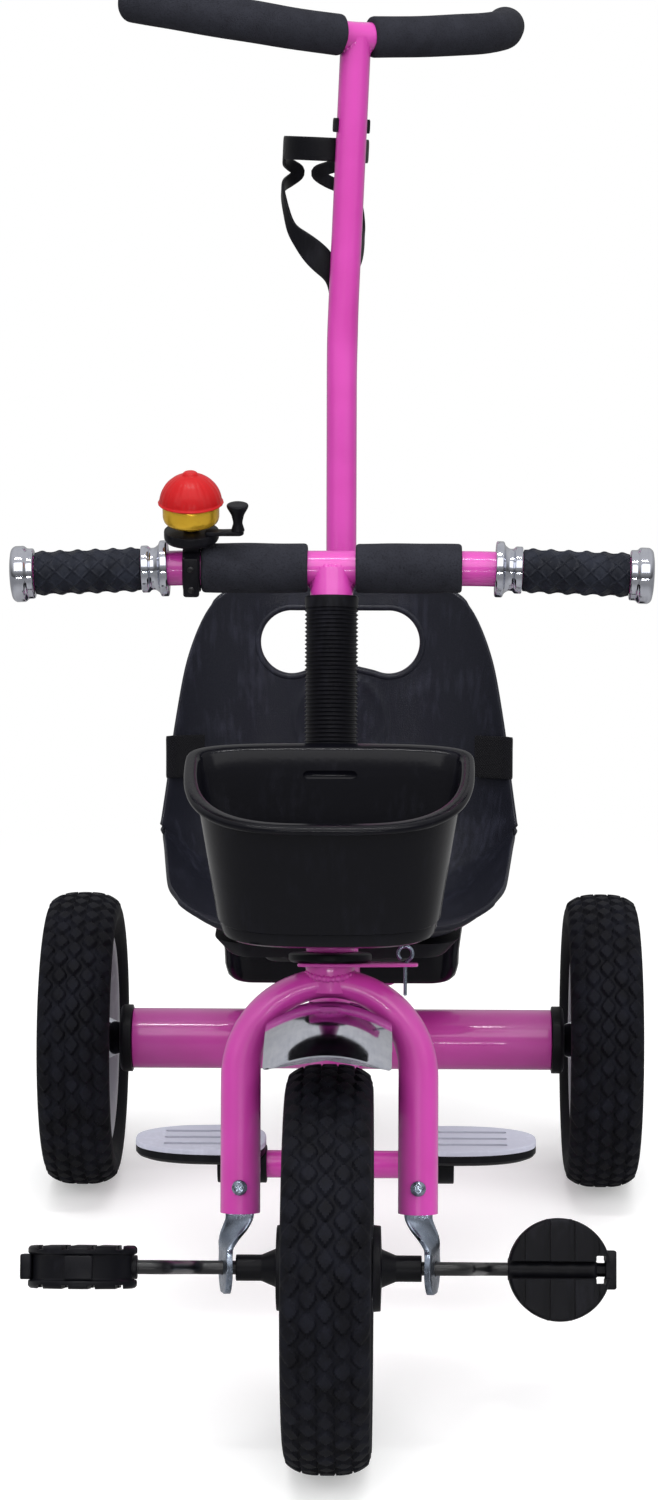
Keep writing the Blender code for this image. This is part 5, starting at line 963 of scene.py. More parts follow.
# %% Head covers and head tube
COLUMN = 0.0103
cover_low = [(COLUMN, 0.1908), (0.024, 0.1908), (0.026, 0.1923), (0.026, 0.1959), (0.0245, 0.1969),
             (COLUMN, 0.1969)]
cover_high = [(COLUMN, 0.2753), (0.0185, 0.2753), (0.0185, 0.2795), (0.0165, 0.281), (COLUMN, 0.281)]
head_tube = [(COLUMN, HEAD_LOW), (0.015, HEAD_LOW), (0.015, HEAD_HIGH), (COLUMN, HEAD_HIGH)]
for name, line, finish, body, node in (
        ("head_cover_low_moulded", cover_low, SATIN_BLACK, "steering", "head_cover_lower"),
        ("head_cover_top_moulded", cover_high, SATIN_BLACK, "steering", "head_cover_upper"),
        ("head_tube_painted", head_tube, PINK, "frame", "head_tube")):
    piece(name, lathe(line, STEERING, 72, 0.0007, True), finish, body, node)

# %% [markdown]
# Bar and stem are tubes welded into a T. The bar kinks down a little at 95 millimetres on each
# side. Where the stem meets it the weld shows as a row of small lumps.

# %% Handlebar
BAR_TUBE, BAR_KINK, BAR_T, DROOP, CAP_END = 0.011, 0.095, 0.4375, 2.4, 0.2015
STEM_LOW, STEM_TUBE = HEAD_HIGH + 0.0106, 0.0135

reach = CAP_END - 0.004 - BAR_KINK
bar_half = np.array([(BAR_KINK, 0.0, BAR_T), (BAR_KINK + reach * math.cos(math.radians(DROOP)), 0.0,
                                              BAR_T - reach * math.sin(math.radians(DROOP)))])
bar_line = softened(np.vstack([bar_half[::-1] * [-1.0, 1.0, 1.0], bar_half]), 0.012, 12)
bar = swept(dense(bar_line, 0.004), circle(BAR_TUBE, 48), (0.0, 1.0, 0.0), STEERING)
stem = lathe([(COLUMN, STEM_LOW), (STEM_TUBE, STEM_LOW), (STEM_TUBE, BAR_T), (0.0, BAR_T),
              (0.0, HEAD_HIGH + 0.036),
              (COLUMN, HEAD_HIGH + 0.036)], STEERING, 56, 0.0004)
stem_weld = saddle(BAR_TUBE + 0.0002, STEM_TUBE - 0.001, -1, 0.86)
piece("handlebar_tube", [bar, stem, weld_bead(stem_weld, 0.0017, 26, STEERING @ shift(z=BAR_T))], PINK,
      "steering",
      "handlebar")

# %% [markdown]
# A ribbed black sleeve covers the stem, like a bellows with a smooth collar at the top. The foams
# on the bar are cut from sponge tube: they have soft rims and a slightly uneven surface.

# %% Stem sleeve and bar foams
SLEEVE_TUBE, SLEEVE_TOP, SLEEVE_RIBS, SLEEVE_BORE = 0.0168, BAR_T - 0.0175, 48, 0.01425
low, high = STEM_LOW + 0.0003, SLEEVE_TOP - 0.008
ribs_height = np.linspace(low, high, SLEEVE_RIBS * 8 + 1)
phase = (ribs_height - low) / (high - low) * SLEEVE_RIBS * 2.0 * np.pi
ribs_radius = SLEEVE_TUBE - 0.0012 * (0.5 + 0.5 * np.cos(phase)) ** 0.7
ribbed = np.vstack([[(SLEEVE_BORE, low)], np.stack([ribs_radius, ribs_height], -1),
                    [(SLEEVE_TUBE - 0.0002, high + 0.0006), (SLEEVE_TUBE, SLEEVE_TOP - 0.001),
                     (SLEEVE_TUBE - 0.001, SLEEVE_TOP), (SLEEVE_BORE, SLEEVE_TOP)]])
piece("stem_sleeve_ribbed", lathe(ribbed, STEERING, 64, 0.0001, True), SATIN_BLACK, "steering", "stem_sleeve")

FOAM_BORE, FOAM_TUBE, FOAM_START, FOAM_END, FOAM_FILL = 0.01135, 0.0158, 0.015, 0.0815, 1.0


def foam_swell(radius, height, angle):
    """Sponge tube is never quite round: slow waves of a quarter of a millimetre."""
    waves = np.sin(2.0 * angle + height * 90.0) + 0.7 * np.sin(3.0 * angle - height * 170.0 + 1.3)
    return radius - 0.00014 * (waves + 1.7)


foam_line = dense([(FOAM_BORE, FOAM_END), (FOAM_TUBE - 0.0012, FOAM_END), (FOAM_TUBE, FOAM_END - 0.0012),
                   (FOAM_TUBE, FOAM_START + 0.0012), (FOAM_TUBE - 0.0012, FOAM_START),
                   (FOAM_BORE, FOAM_START)], 0.0015)
for side, word in SIDES:
    foam = lathe(foam_line, STEERING @ shift(z=BAR_T) @ along_x(side), 72, 0.0008, True, foam_swell)
    made = piece("bar_foam_sponge_" + word, foam, FOAM, "steering", "bar_foam_" + word, crease=50.0)

# %% [markdown]
# Each end of the bar has a chromed collar with a wide flange, a rubber grip with six soft waves
# and a raised diamond pattern, and a chromed cap. The diamonds are two sets of thin ribs that
# wind opposite ways round the grip; they stand 0.6 mm high.

# %% Collars, grips and caps
GRIP_TUBE, CAP_TUBE = 0.0134, 0.0176
GRIP_WAVES, DIAMOND_TURNS = 6, 8
collar, grip, grip_end, cap_end = (place - BAR_KINK for place in (0.1023, 0.1196, 0.1863, CAP_END))
DIAMOND_PITCH = (grip_end - grip) / GRIP_WAVES


def grip_relief(radius, height, angle):
    """Two families of slanting ribs: full height where a slanted wave is near its crest."""
    wind = 2.0 * np.pi * height / DIAMOND_PITCH
    crest = np.maximum(np.cos(DIAMOND_TURNS * angle + wind), np.cos(DIAMOND_TURNS * angle - wind))
    outside = blended(radius, GRIP_TUBE - 0.0012, GRIP_TUBE - 0.0008)
    return radius + (blended(crest, 0.78, 0.96) * 0.0006 - 0.0003) * outside


collar_end, cap = grip - 0.0003, grip_end + 0.0003
collar_line = [(0.0115, collar_end), (0.0148, collar_end), (0.0148, collar_end - 0.0045),
               (0.0132, collar_end - 0.0058), (0.0132, collar + 0.0085), (0.015, collar + 0.006),
               (CAP_TUBE, collar + 0.005), (CAP_TUBE, collar + 0.0005), (0.016, collar), (0.0115, collar)]
along = np.linspace(grip + 0.0004, grip_end - 0.0004, 260)
waves = GRIP_TUBE - 0.00005 - 0.0006 * np.cos((along - grip) / DIAMOND_PITCH * 2.0 * np.pi)
grip_line = np.vstack([[(0.0117, grip), (GRIP_TUBE - 0.0016, grip)], np.stack([waves, along], -1),
                       [(GRIP_TUBE - 0.0016, grip_end), (0.0117, grip_end)]])
cap_line = [(0.0, cap_end), (0.011, cap_end), (CAP_TUBE - 0.0018, cap_end - 0.0009),
            (CAP_TUBE, cap_end - 0.003),
            (CAP_TUBE, cap + 0.0058), (0.0158, cap + 0.0042), (0.0158, cap), (0.0115, cap),
            (0.0115, cap_end - 0.003),
            (0.0, cap_end - 0.003)]
for side, word in SIDES:
    place = STEERING @ shift(side * BAR_KINK, 0.0, BAR_T) @ turn("Y", side * DROOP) @ along_x(side)
    piece("grip_collar_turned_" + word, lathe(collar_line, place, 72, 0.0009, True), CHROME, "steering",
          "grip_collar_" + word)
    piece("grip_moulded_" + word, lathe(grip_line, place, 144, 0.0002, True, grip_relief), GRIP_RUBBER,
          "steering",
          "grip_" + word, crease=60.0)
    piece("bar_cap_turned_" + word, lathe(cap_line, place, 72, 0.0012), CHROME, "steering", "bar_cap_" + word)

# %% [markdown]
# The bell stands upright on the left of the bar. From below: a black clamp with two screws, a
# base disc, a thumb lever with a trumpet knob, a brass-coloured cup, and a red cap with ribs.

# %% Bell
BELL = STEERING @ shift(-0.0876, 0.0, BAR_T) @ turn("X", 25.0)
BELL_LOW = CAP_TUBE + 0.0006
BELL_HIGH = BELL_LOW + 0.007
LEVER_LOW, LEVER_HIGH = BELL_HIGH + 0.0003, BELL_HIGH + 0.0029
CUP_LOW, CUP_HIGH = LEVER_HIGH + 0.0012, LEVER_HIGH + 0.0147
CAP_LOW, CAP_ROUND, CAP_TALL, CAP_FLUTES = CUP_HIGH + 0.0003, 0.0197, 0.0192, 24

clamp = sleeve(0.0113, 0.015, 0.0055, -0.0055, BELL @ along_x(), 64, 0.001)
base = lathe([(0.0, BELL_HIGH), (0.017, BELL_HIGH), (0.0172, BELL_HIGH - 0.001), (0.0172, BELL_LOW + 0.002),
              (0.016, BELL_LOW), (0.0, BELL_LOW)], BELL, 72, 0.0008)
stalk = box_shell((-0.005, -0.01, 0.0135), (0.005, 0.01, BELL_LOW + 0.001), 0.0012, BELL)
lug = box_shell((-0.005, -0.017, -0.0135), (0.005, -0.0118, 0.012), 0.0012, BELL)
piece("bell_clamp_moulded", [clamp, base, stalk, lug], SATIN_BLACK, "steering", "bell_clamp")
for number, height in ((1, 0.005), (2, -0.0085)):
    pan_head(f"bell_clamp_screw_{number}", BELL @ shift(0.0, -0.0168, height) @ turn("X", 90.0), None, 0.0022,
             0.0012,
             0.001, BLACK_STEEL)

cup_line = [(0.0, CUP_HIGH), (0.0172, CUP_HIGH), (0.0177, CUP_HIGH - 0.002), (0.0177, CUP_LOW + 0.0045),
            (0.0166, CUP_LOW + 0.0016), (0.014, CUP_LOW), (0.006, CUP_LOW), (0.0055, BELL_HIGH + 0.0003),
            (0.0, BELL_HIGH + 0.0003)]
piece("bell_cup_spun", lathe(cup_line, BELL, 96, 0.0016), BRASS, "steering", "bell_cup")


def cap_ribs(radius, height, angle):
    """Shallow rounded flutes that fade out at the small knob on top."""
    return radius - 0.00016 * blended(radius, 0.006, 0.011) * (0.5 - 0.5 * np.cos(angle * CAP_FLUTES)) ** 1.5


rise = np.linspace(0.965, 0.08, 24)
dome = np.stack([CAP_ROUND * np.sqrt(1.0 - rise ** 2), CAP_LOW + CAP_TALL * rise], -1)
top = CAP_LOW + 0.0205
bell_line = dense(np.vstack([[(0.0, top), (0.0036, top), (0.0047, top - 0.001)], dome,
                             [(0.0207, CAP_LOW + 0.0006), (0.0205, CAP_LOW), (0.0, CAP_LOW)]]), 0.0008)
piece("bell_cap_ribbed", lathe(bell_line, BELL, 240, 0.0004, wave=cap_ribs), RED_PLASTIC, "steering",
      "bell_cap")

lever_at = BELL @ shift(0.012, -0.0085)
arm = plate(softened([(-0.003, -0.0035), (0.006, -0.004), (0.02, -0.0035), (0.0215, 0.0), (0.02, 0.0035),
                      (0.006, 0.003), (-0.003, 0.0032)], 0.0016, 5, closed=True), LEVER_LOW, LEVER_HIGH,
            0.0006,
            lever_at)
knob = lathe([(0.0, 0.0172), (0.0052, 0.0175), (0.0068, 0.017), (0.0068, 0.0155), (0.004, 0.0105),
              (0.0028, 0.005),
              (0.0045, -0.0005), (0.0, -0.0005)], lever_at @ shift(0.0175, 0.0, LEVER_HIGH), 48, 0.0014)
piece("bell_lever_arm", [arm, knob], SATIN_BLACK, "bell_lever", "bell_lever")

# %% [markdown]
# The front basket is one moulding. Its outline is nearly straight at the back and bulges in
# front, its sides flare upwards, and a rolled lip runs round the rim, which slopes down to the
# front. A small hook plate on the steering post carries it.

# %% Basket and its bracket
WHEEL_HIGH, BASKET_TALL, BASKET_BEHIND = 0.127, 0.104, 0.0235
BASKET_LOW = WHEEL_HIGH + HEAD_HIGH * math.cos(RAKE) - 0.0496
BASKET_FLOOR_HALF, BASKET_RIM_HALF = 0.0665, 0.083
BASKET_FLOOR_DEPTH, BASKET_RIM_DEPTH = 0.066, 0.108
BASKET_WALL, BASKET_LIP, BASKET_SLOPE, BACK_SHARE = 0.0025, 0.0065, math.tan(math.radians(11.0)), 0.022
SLOT_Z = BASKET_LOW + BASKET_TALL - 0.0165


def behind_axis(height):
    """Working Y of the basket's back at a height: it keeps behind the steering axis."""
    return (height - WHEEL_HIGH) * math.tan(RAKE) - BASKET_BEHIND


def basket_ring(share, offset=0.0, lift=0.0, count=200):
    """Outline at a share of the height: superellipses whose back corners get rounder upwards."""
    half = BASKET_FLOOR_HALF + share * (BASKET_RIM_HALF - BASKET_FLOOR_HALF) - offset
    depth = BASKET_FLOOR_DEPTH + share * (BASKET_RIM_DEPTH - BASKET_FLOOR_DEPTH)
    level = BASKET_LOW + share * BASKET_TALL
    back = behind_axis(level)
    c, s = arc(full_turn(count) + np.pi / count).T
    x = half * np.sign(c) * np.abs(c) ** np.where(s > 0, 0.50 + 0.10 * share, 0.60)
    rear, front = BACK_SHARE - offset, depth - BACK_SHARE - offset
    y = back - BACK_SHARE + np.where(s > 0, rear * np.abs(s) ** (0.36 + 0.14 * share),
                                     -front * np.abs(s) ** 0.74)
    return evenly(np.stack([x, y, level + lift - share * BASKET_SLOPE * (back - y)], -1), count)


levels = [(0.0, 0.012, 0.0), (0.0, 0.005, 0.0004), (0.0, 0.0018, 0.0022), (0.0, 0.0004, 0.0055),
          (0.0, 0.0, 0.01)]
levels += [(share, 0.0, 0.0) for share in np.linspace(0.12, 0.9, 8)]
levels += [(0.965 + 0.035 * math.sin(angle), -BASKET_LIP + 0.0022 * (1.0 - math.cos(angle)), 0.0)
           for angle in np.linspace(-0.5 * np.pi, 0.5 * np.pi, 9)]
levels += [(1.0, 0.0, 0.0), (0.992, BASKET_WALL * 0.7, 0.0), (0.975, BASKET_WALL, 0.0)]
levels += [(share, BASKET_WALL, 0.0) for share in np.linspace(0.88, 0.15, 6)]
levels += [(0.0, BASKET_WALL, 0.013), (0.0, BASKET_WALL + 0.0012, 0.007),
           (0.0, BASKET_WALL + 0.004, BASKET_WALL + 0.001), (0.0, 0.014, BASKET_WALL)]
made = piece("basket_moulding", moved(skin([basket_ring(*level) for level in levels]), GROUND), GLOSS_BLACK,
             "steering", "front_basket", crease=42.0)
slot_y = behind_axis(SLOT_Z)
carved(made, box_shell((-0.017, slot_y - 0.008, SLOT_Z - 0.0026), (0.017, slot_y - 0.0012, SLOT_Z + 0.0026),
                       0.002,
                       GROUND))

low, high = HEAD_HIGH + 0.0063, HEAD_HIGH + 0.0103
hook_y = 0.0003 - BASKET_BEHIND * math.cos(RAKE)
piece("basket_hook_plate", [
    sleeve(COLUMN, 0.0165, high, low, STEERING),
    box_shell((-0.012, hook_y + 0.001, low + 0.0001), (0.012, -0.012, high - 0.0001), 0.0006, STEERING),
    box_shell((-0.022, hook_y, low - 0.02), (0.022, hook_y + 0.003, high + 0.012), 0.0012, STEERING)],
      SATIN_BLACK, "steering", "basket_bracket")

# %% [markdown]
# A wire clip drops through the lock plate to hold the steering straight. It is one bent wire: a
# straight leg and a round loop to pull.

# %% Lock pin
WIRE, LOOP = 0.0011, 0.0045
x, z = arc(np.radians(np.linspace(-66.0, 230.0, 60)), LOOP).T
loop = np.stack([x, np.zeros(60), LOOP + WIRE + 0.0003 + z], -1)
leg = np.linspace([0.0, 0.0, -0.02], [0.0, 0.0, -0.0015], 16)
pin_line = dense(softened(np.vstack([leg, loop]), 0.0006, 3), 0.0005)
pin_place = STEERING @ shift(LOCK_PIN_X, 0.0, LOCK_LOW + LOCK_THICK)
piece("lock_pin_wire", domed(pin_line, WIRE, 16, 0.0004, (0.0, 1.0, 0.0), pin_place), (ZINC[0], "chrome"),
      "lock_pin", "lock_pin")

# %% [markdown]
# The frame is a curved spine from the head tube to the rear axle tube, a short bar for the feet,
# a post for the seat and a socket for the push handle, all welded. Beads of weld show where
# tubes meet.

# %% Frame tubes
WHEELBASE, REAR_HIGH, REAR_TUBE = 0.5, 0.111, 0.0228
SPINE_TUBE, SPINE_LOW, SPINE_BEND_Y = 0.0165, 0.122, 0.29
FOOT_Y, FOOT_Z, FOOT_TUBE, FOOT_IN, FOOT_OUT = 0.24, 0.1065, 0.0095, 0.048, 0.138
POST_Y, SEAT_FLOOR = 0.325, 0.255
LEAN, POLE_TUBE = 10.0, 0.011
SOCKET_LOW, SOCKET_HIGH, SOCKET_TUBE = 0.142, 0.26, 0.0145


def on_pole(height):
    """Working Y of the pole's lower axis at a height."""
    return 0.478 + (height - 0.512) * math.tan(math.radians(LEAN))


head_mid = (HEAD_LOW + HEAD_HIGH) / 2.0 - 0.002
bezier = np.array([(0.0, head_mid * math.sin(RAKE), WHEEL_HIGH + head_mid * math.cos(RAKE)),
                   (0.0, 0.215, 0.318),
                   (0.0, 0.148, SPINE_LOW), (0.0, SPINE_BEND_Y, SPINE_LOW)])
share = np.linspace(0.0, 1.0, 60)[:, None]
curve = ((1 - share) ** 3 * bezier[0] + 3 * (1 - share) ** 2 * share * bezier[1]
         + 3 * (1 - share) * share ** 2 * bezier[2] + share ** 3 * bezier[3])
spine_end = (0.0, WHEELBASE - REAR_TUBE - 0.001, REAR_HIGH + 0.0011)
spine_line = np.vstack([curve, dense([bezier[3], spine_end], 0.006)[1:]])
spine_line = spine_line[np.searchsorted(lengths(spine_line), 0.0152):]
foot_at = GROUND @ shift(0.0, FOOT_Y, FOOT_Z)
foot_bar_hole = rod(FOOT_TUBE + 0.0003, -0.08, 0.08, foot_at @ along_x())
made = piece("spine_bent_tube", swept(spine_line, circle(SPINE_TUBE, 48), matrix=GROUND), PINK, "frame",
             "spine_tube")
carved(made, rod(0.0153, HEAD_LOW - 0.02, HEAD_HIGH + 0.02, STEERING, 64), foot_bar_hole)

rear_at = GROUND @ shift(0.0, WHEELBASE, REAR_HIGH)
rear_tube = sleeve(REAR_TUBE - 0.002, REAR_TUBE, REAR_TUBE_HALF, -REAR_TUBE_HALF, rear_at @ along_x(), 96,
                   0.0007)
spine_bead = weld_bead(saddle(REAR_TUBE - 0.0004, SPINE_TUBE + 0.0006), 0.0019, 34, rear_at @ turn("X", 87.0))
piece("rear_tube_painted", [rear_tube, spine_bead], PINK, "frame", "rear_axle_tube")
piece("foot_bar_tube", rod(FOOT_TUBE, FOOT_IN + 0.03, -FOOT_IN - 0.03, foot_at @ along_x(), 48, 0.0007), PINK,
      "frame", "footrest_bar")

socket_at = GROUND @ shift(0.0, on_pole(SOCKET_LOW), SOCKET_LOW) @ turn("X", -LEAN)
socket_length = (SOCKET_HIGH - SOCKET_LOW) / math.cos(math.radians(LEAN))
socket_line = [(POLE_TUBE + 0.0003, socket_length), (SOCKET_TUBE, socket_length), (SOCKET_TUBE, -0.02),
               (0.0, -0.02),
               (0.0, 0.01), (POLE_TUBE + 0.0003, 0.01)]
made = piece("handle_socket_tube", lathe(socket_line, socket_at, 64, 0.0008), PINK, "frame", "handle_socket")
spine_slope = math.degrees(math.atan2(SPINE_LOW - REAR_HIGH, WHEELBASE - SPINE_BEND_Y))
spine_hole = rod(SPINE_TUBE + 0.0003, -0.25, 0.25,
                 GROUND @ shift(0.0, SPINE_BEND_Y, SPINE_LOW) @ turn("X", -90.0 - spine_slope), 64)
carved(made, spine_hole)

plate_low, plate_high = SEAT_FLOOR - 0.0163, SEAT_FLOOR - 0.0123
post_at = GROUND @ shift(0.0, POST_Y)
made = piece("seat_post_tube", rod(0.0135, plate_low + 0.001, SPINE_LOW - 0.01, post_at, 56, 0.0005), PINK,
             "frame",
             "seat_post")
carved(made, spine_hole)
piece("seat_post_plate", [plate(rounded_box(0.05, 0.04, 0.01), plate_low, plate_high, 0.0006, post_at),
                          weld_bead(at_height(circle(0.014, 180), plate_low - 0.0006), 0.0016, 26, post_at)],
      BLACK_STEEL, "frame")

# %% [markdown]
# Each footrest has a black base with a boss that clamps the bar, and a grey tread pad with three
# long slots. Base and pad share one outline, narrower towards the tip.

# %% Footrests
def footrest(side, levels):
    """Skin through superellipses, narrower towards the tip, at (offset, height) levels."""
    c, s = arc(full_turn(120) + np.pi / 120).T
    rings = []
    for offset, height in levels:
        x = (FOOT_IN + FOOT_OUT) / 2.0 + ((FOOT_OUT - FOOT_IN) / 2.0
                                          - offset) * np.sign(c) * np.abs(c) ** 0.80
        y = (0.026 - offset) * np.sign(s) * np.abs(s) ** 0.72 * (1.0 - 0.18 * c)
        rings.append(at_height(np.stack([side * x, y], -1), height))
    return moved(skin(rings), GROUND @ shift(0.0, FOOT_Y))


low, high = FOOT_Z + FOOT_TUBE - 0.003, FOOT_Z + FOOT_TUBE + 0.006
pad_low, pad_high = high + 0.0003, high + 0.0038
for side, word in SIDES:
    base = footrest(side, [(0.008, low), (0.006, low + 0.0002), (0.0015, low + 0.0025), (0.0, low + 0.0045),
                           (0.0, high - 0.0006), (0.0006, high)])
    made = piece("footrest_base_moulded_" + word, base, SATIN_BLACK, "frame", "footrest_base_" + word)
    carved(made, foot_bar_hole)
    boss_at = foot_at @ shift(side * (FOOT_IN - 0.0005)) @ along_x(side)
    piece("footrest_boss_" + word, sleeve(0.0098, 0.013, 0.034, 0.0, boss_at, 56, 0.0009), SATIN_BLACK,
          "frame")
    pad = footrest(side, [(0.0, pad_low), (0.0, pad_high - 0.0012), (0.0003, pad_high - 0.0004),
                          (0.0012, pad_high),
                          (0.002, pad_high)])
    made = piece("footrest_pad_moulded_" + word, pad, GREY_PLASTIC, "frame", "footrest_pad_" + word)
    carved(made, *(box_shell((side * (FOOT_IN + 0.018), y - 0.002, pad_low - 0.001),
                             (side * (FOOT_OUT - 0.02), y + 0.002, pad_high + 0.01), 0.0018,
                             GROUND @ shift(0.0, FOOT_Y)) for y in (-0.0125, 0.0, 0.0125)))

# %% [markdown]
# The seat is a blow-moulded bucket. Its middle line goes along a flat pan and bends up into a
# leaning back; the sides curl into rims that are highest beside the hips. The whole top skin is
# one formula of two numbers, along and across; the underside is the same skin moved inwards by the
# wall. A kidney-shaped hole near the top serves as a handle.

# %% Seat
SEAT_WALL, SEAT_HALF = 0.004, 0.125
HALF_WALL = SEAT_WALL / 2.0
PAN = SEAT_FLOOR + SEAT_WALL + 0.0003
# Shares along the seat, with the middle line's Y and Z, the half width and the rim's rise there.
STATIONS = np.array([0.0, 0.06, 0.20, 0.40, 0.50, 0.60, 0.72, 0.84, 0.93, 1.0])
SEAT_Y = np.array([0.235, 0.247, 0.281, 0.366, 0.392, 0.408, 0.419, 0.428, 0.4335, 0.435])
SEAT_Z = np.array([0.278, 0.279, PAN, PAN, PAN + 0.014, PAN + 0.048, PAN + 0.105, PAN + 0.165, PAN + 0.205,
                   0.488])
SEAT_WIDTH = np.array([0.093, 0.103, 0.116, 0.124, 0.1265, 0.1255, 0.119, 0.109, 0.093,
                       0.062]) * SEAT_HALF / 0.1265
SEAT_RISE = np.array([0.004, 0.010, 0.036, 0.050, 0.050, 0.042, 0.032, 0.024, 0.016, 0.006])
PAD_Z, PAD_R = 0.378, 0.032


def rounded_line(values, along, reach=0.035):
    """Straight stretches between the stations, with their corners averaged over a reach."""
    held = np.clip(along[..., None] + np.linspace(-reach, reach, 9), 0.0, 1.0)
    return (np.interp(held, STATIONS, values) * np.hanning(11)[1:-1]).sum(-1) / np.hanning(11).sum()


def seat_point(along, across):
    """Point of the top skin: the middle line, plus the half width, plus a rim that rises."""
    along, across = np.broadcast_arrays(np.asarray(along, float), np.asarray(across, float))
    y, z = rounded_line(SEAT_Y, along), rounded_line(SEAT_Z, along)
    half, lift = rounded_line(SEAT_WIDTH, along, 0.06), rounded_line(SEAT_RISE, along, 0.06)
    rise = lift * np.clip((np.abs(across) - 0.45) / 0.55, 0.0, 1.0) ** 2.2
    lean = np.radians(80.0) * blended(along, 0.34, 0.68)
    return np.stack([half * across, y - np.sin(lean) * rise, z + np.cos(lean) * rise], -1)


def seat_way(along, across, step=0.004):
    """Unit direction out of the top skin, from differences along and across it."""
    d_along = seat_point(along + step, across) - seat_point(along - step, across)
    d_across = seat_point(along, across + step) - seat_point(along, across - step)
    return unit(np.cross(d_across, d_along))


def border(grid):
    """Closed line round the border of a grid."""
    return np.concatenate([grid[0, :-1], grid[:-1, -1], grid[-1, :0:-1], grid[:0:-1, 0]])


def sheet_shell(top, under, way):
    """Top skin, underside and a half-round rim between them, as one closed shell."""
    middle_skin = under + way * HALF_WALL
    out = np.concatenate([unit(middle_skin[0] - middle_skin[1])[:-1],
                          unit(middle_skin[:, -1] - middle_skin[:, -2])[:-1],
                          unit(middle_skin[-1] - middle_skin[-2])[:0:-1],
                          unit(middle_skin[:, 0] - middle_skin[:, 1])[:0:-1]])
    lip = np.linspace(0.0, np.pi, 7)[1:-1]
    rim = [border(middle_skin) + HALF_WALL * (border(way) * math.cos(angle) + out * math.sin(angle))
           for angle in lip]
    count = top[..., 0].size
    index = np.arange(count).reshape(top.shape[:2])
    top_quads = np.stack([index[:-1, :-1], index[:-1, 1:], index[1:, 1:], index[1:, :-1]], -1).reshape(-1, 4)
    quads = [top_quads, top_quads[:, ::-1] + count]
    first = border(index)
    lines = [first] + [2 * count + number * len(first) + np.arange(len(first)) for number in range(len(lip))]
    for line, following in zip(lines, lines[1:] + [first + count]):
        quads.append(np.stack([np.roll(line, -1), line, following, np.roll(following, -1)], -1))
    points = np.vstack([top.reshape(-1, 3), under.reshape(-1, 3)] + rim)
    return outward(points, np.vstack(quads), np.zeros((0, 3), int))


v, u = np.meshgrid(np.linspace(0.0, 1.0, 150), np.linspace(-1.0, 1.0, 121), indexing="ij")
u = u * (1.0 - 0.25 * np.clip((v - 0.93) / 0.07, 0.0, 1.0) ** 1.5 - 0.16 * np.clip((0.12 - v) / 0.12, 0.0,
                                                                                   1.0) ** 2)
top_skin, way = seat_point(v, u), seat_way(np.clip(v, 0.004, 0.996), u)
from_pad = np.hypot(top_skin[..., 0], top_skin[..., 2] - PAD_Z)
ring_lift = np.exp(-((from_pad - PAD_R) / 0.0018) ** 2) * 0.0014 * (v > 0.5)
shell = sheet_shell(top_skin + way * ring_lift[..., None], top_skin - way * SEAT_WALL, way)
made = piece("seat_bucket", moved(shell, GROUND), SEAT_BLACK, "frame", "seat_shell", crease=60.0)

LOBE, LOBE_TALL, LOBE_X, HOLE_Y, HOLE_Z = 0.0245, 0.025, 0.035, 0.42, 0.435
lobe = arc(np.radians(np.linspace(-115.0, 95.0, 30))) * [LOBE, LOBE_TALL] + [LOBE_X, 0.0]
hole_line = softened(np.vstack([lobe, lobe[::-1] * [-1.0, 1.0], [[0.0, -0.017]]]), 0.004, 4, closed=True)
hole_at = GROUND @ shift(0.0, HOLE_Y, HOLE_Z) @ turn("X", 90.0)
carved(made, moved(skin([at_height(hole_line, level) for level in (-0.06, 0.06)]), hole_at))


def on_seat(x, z):
    """Point of the seat's middle surface in front of a place of the back: found by halving."""
    low_v, high_v = np.full_like(x, 0.62), np.full_like(x, 0.999)
    for _ in range(26):
        mid_v = (low_v + high_v) / 2.0
        across = np.clip(x / rounded_line(SEAT_WIDTH, mid_v, 0.06), -1.0, 1.0)
        below = seat_point(mid_v, across)[..., 2] < z
        low_v, high_v = np.where(below, mid_v, low_v), np.where(below, high_v, mid_v)
    return seat_point(mid_v, across) - seat_way(mid_v, across) * HALF_WALL


x, z = evenly(hole_line, 160).T
hole_rim = beaded(on_seat(x, z + HOLE_Z), circle(1.0, 14) * [0.0026, 0.003],
                  lambda ahead: unit(np.cross(ahead, [0.0, 1.0, 0.0])), GROUND)
piece("seat_hole_rim", hole_rim, SEAT_BLACK, "frame")

base_low = SEAT_FLOOR - 0.012
base = skin([at_height(rounded_box(0.085, 0.05, 0.02) * scale, level) for scale, level in
             ((0.885, base_low), (0.90, base_low + 0.001), (0.995, SEAT_FLOOR - 0.001), (1.0, SEAT_FLOOR))])
piece("seat_base_moulded", moved(base, post_at), SATIN_BLACK, "frame", "seat_base")

# %% [markdown]
# The belt is a flat strap of webbing stretched round the back of the seat. Its two ends fold
# over the side rims. It was cut as a plain rectangle, 30 by 346 millimetres.

# %% Belt
BELT_ALONG, BELT_HALF, BELT_THICK, BELT_CLEAR = 0.7, 0.015, 0.0018, 0.0035


def off_seat(across, distance):
    """Point of the belt's line, at a distance in front of the seat's top skin."""
    return seat_point(BELT_ALONG, across) + seat_way(BELT_ALONG, across) * distance


def belt_line():
    """Middle line of the strap, half of it mirrored: round the left rim and along the back."""
    beyond = unit(off_seat(-1.0, 0.0) - off_seat(-0.98, 0.0))
    behind = -(SEAT_WALL + BELT_CLEAR)
    left = [off_seat(-0.84, BELT_CLEAR), off_seat(-1.0, BELT_CLEAR) + beyond * 0.001,
            off_seat(-1.0, -HALF_WALL) + beyond * (BELT_CLEAR + 0.002)]
    left = np.array(left + [off_seat(-share, behind) for share in (1.0, 0.93, 0.75, 0.5, 0.25, 0.0)])
    return np.vstack([left, left[-2::-1] * [-1.0, 1.0, 1.0]])


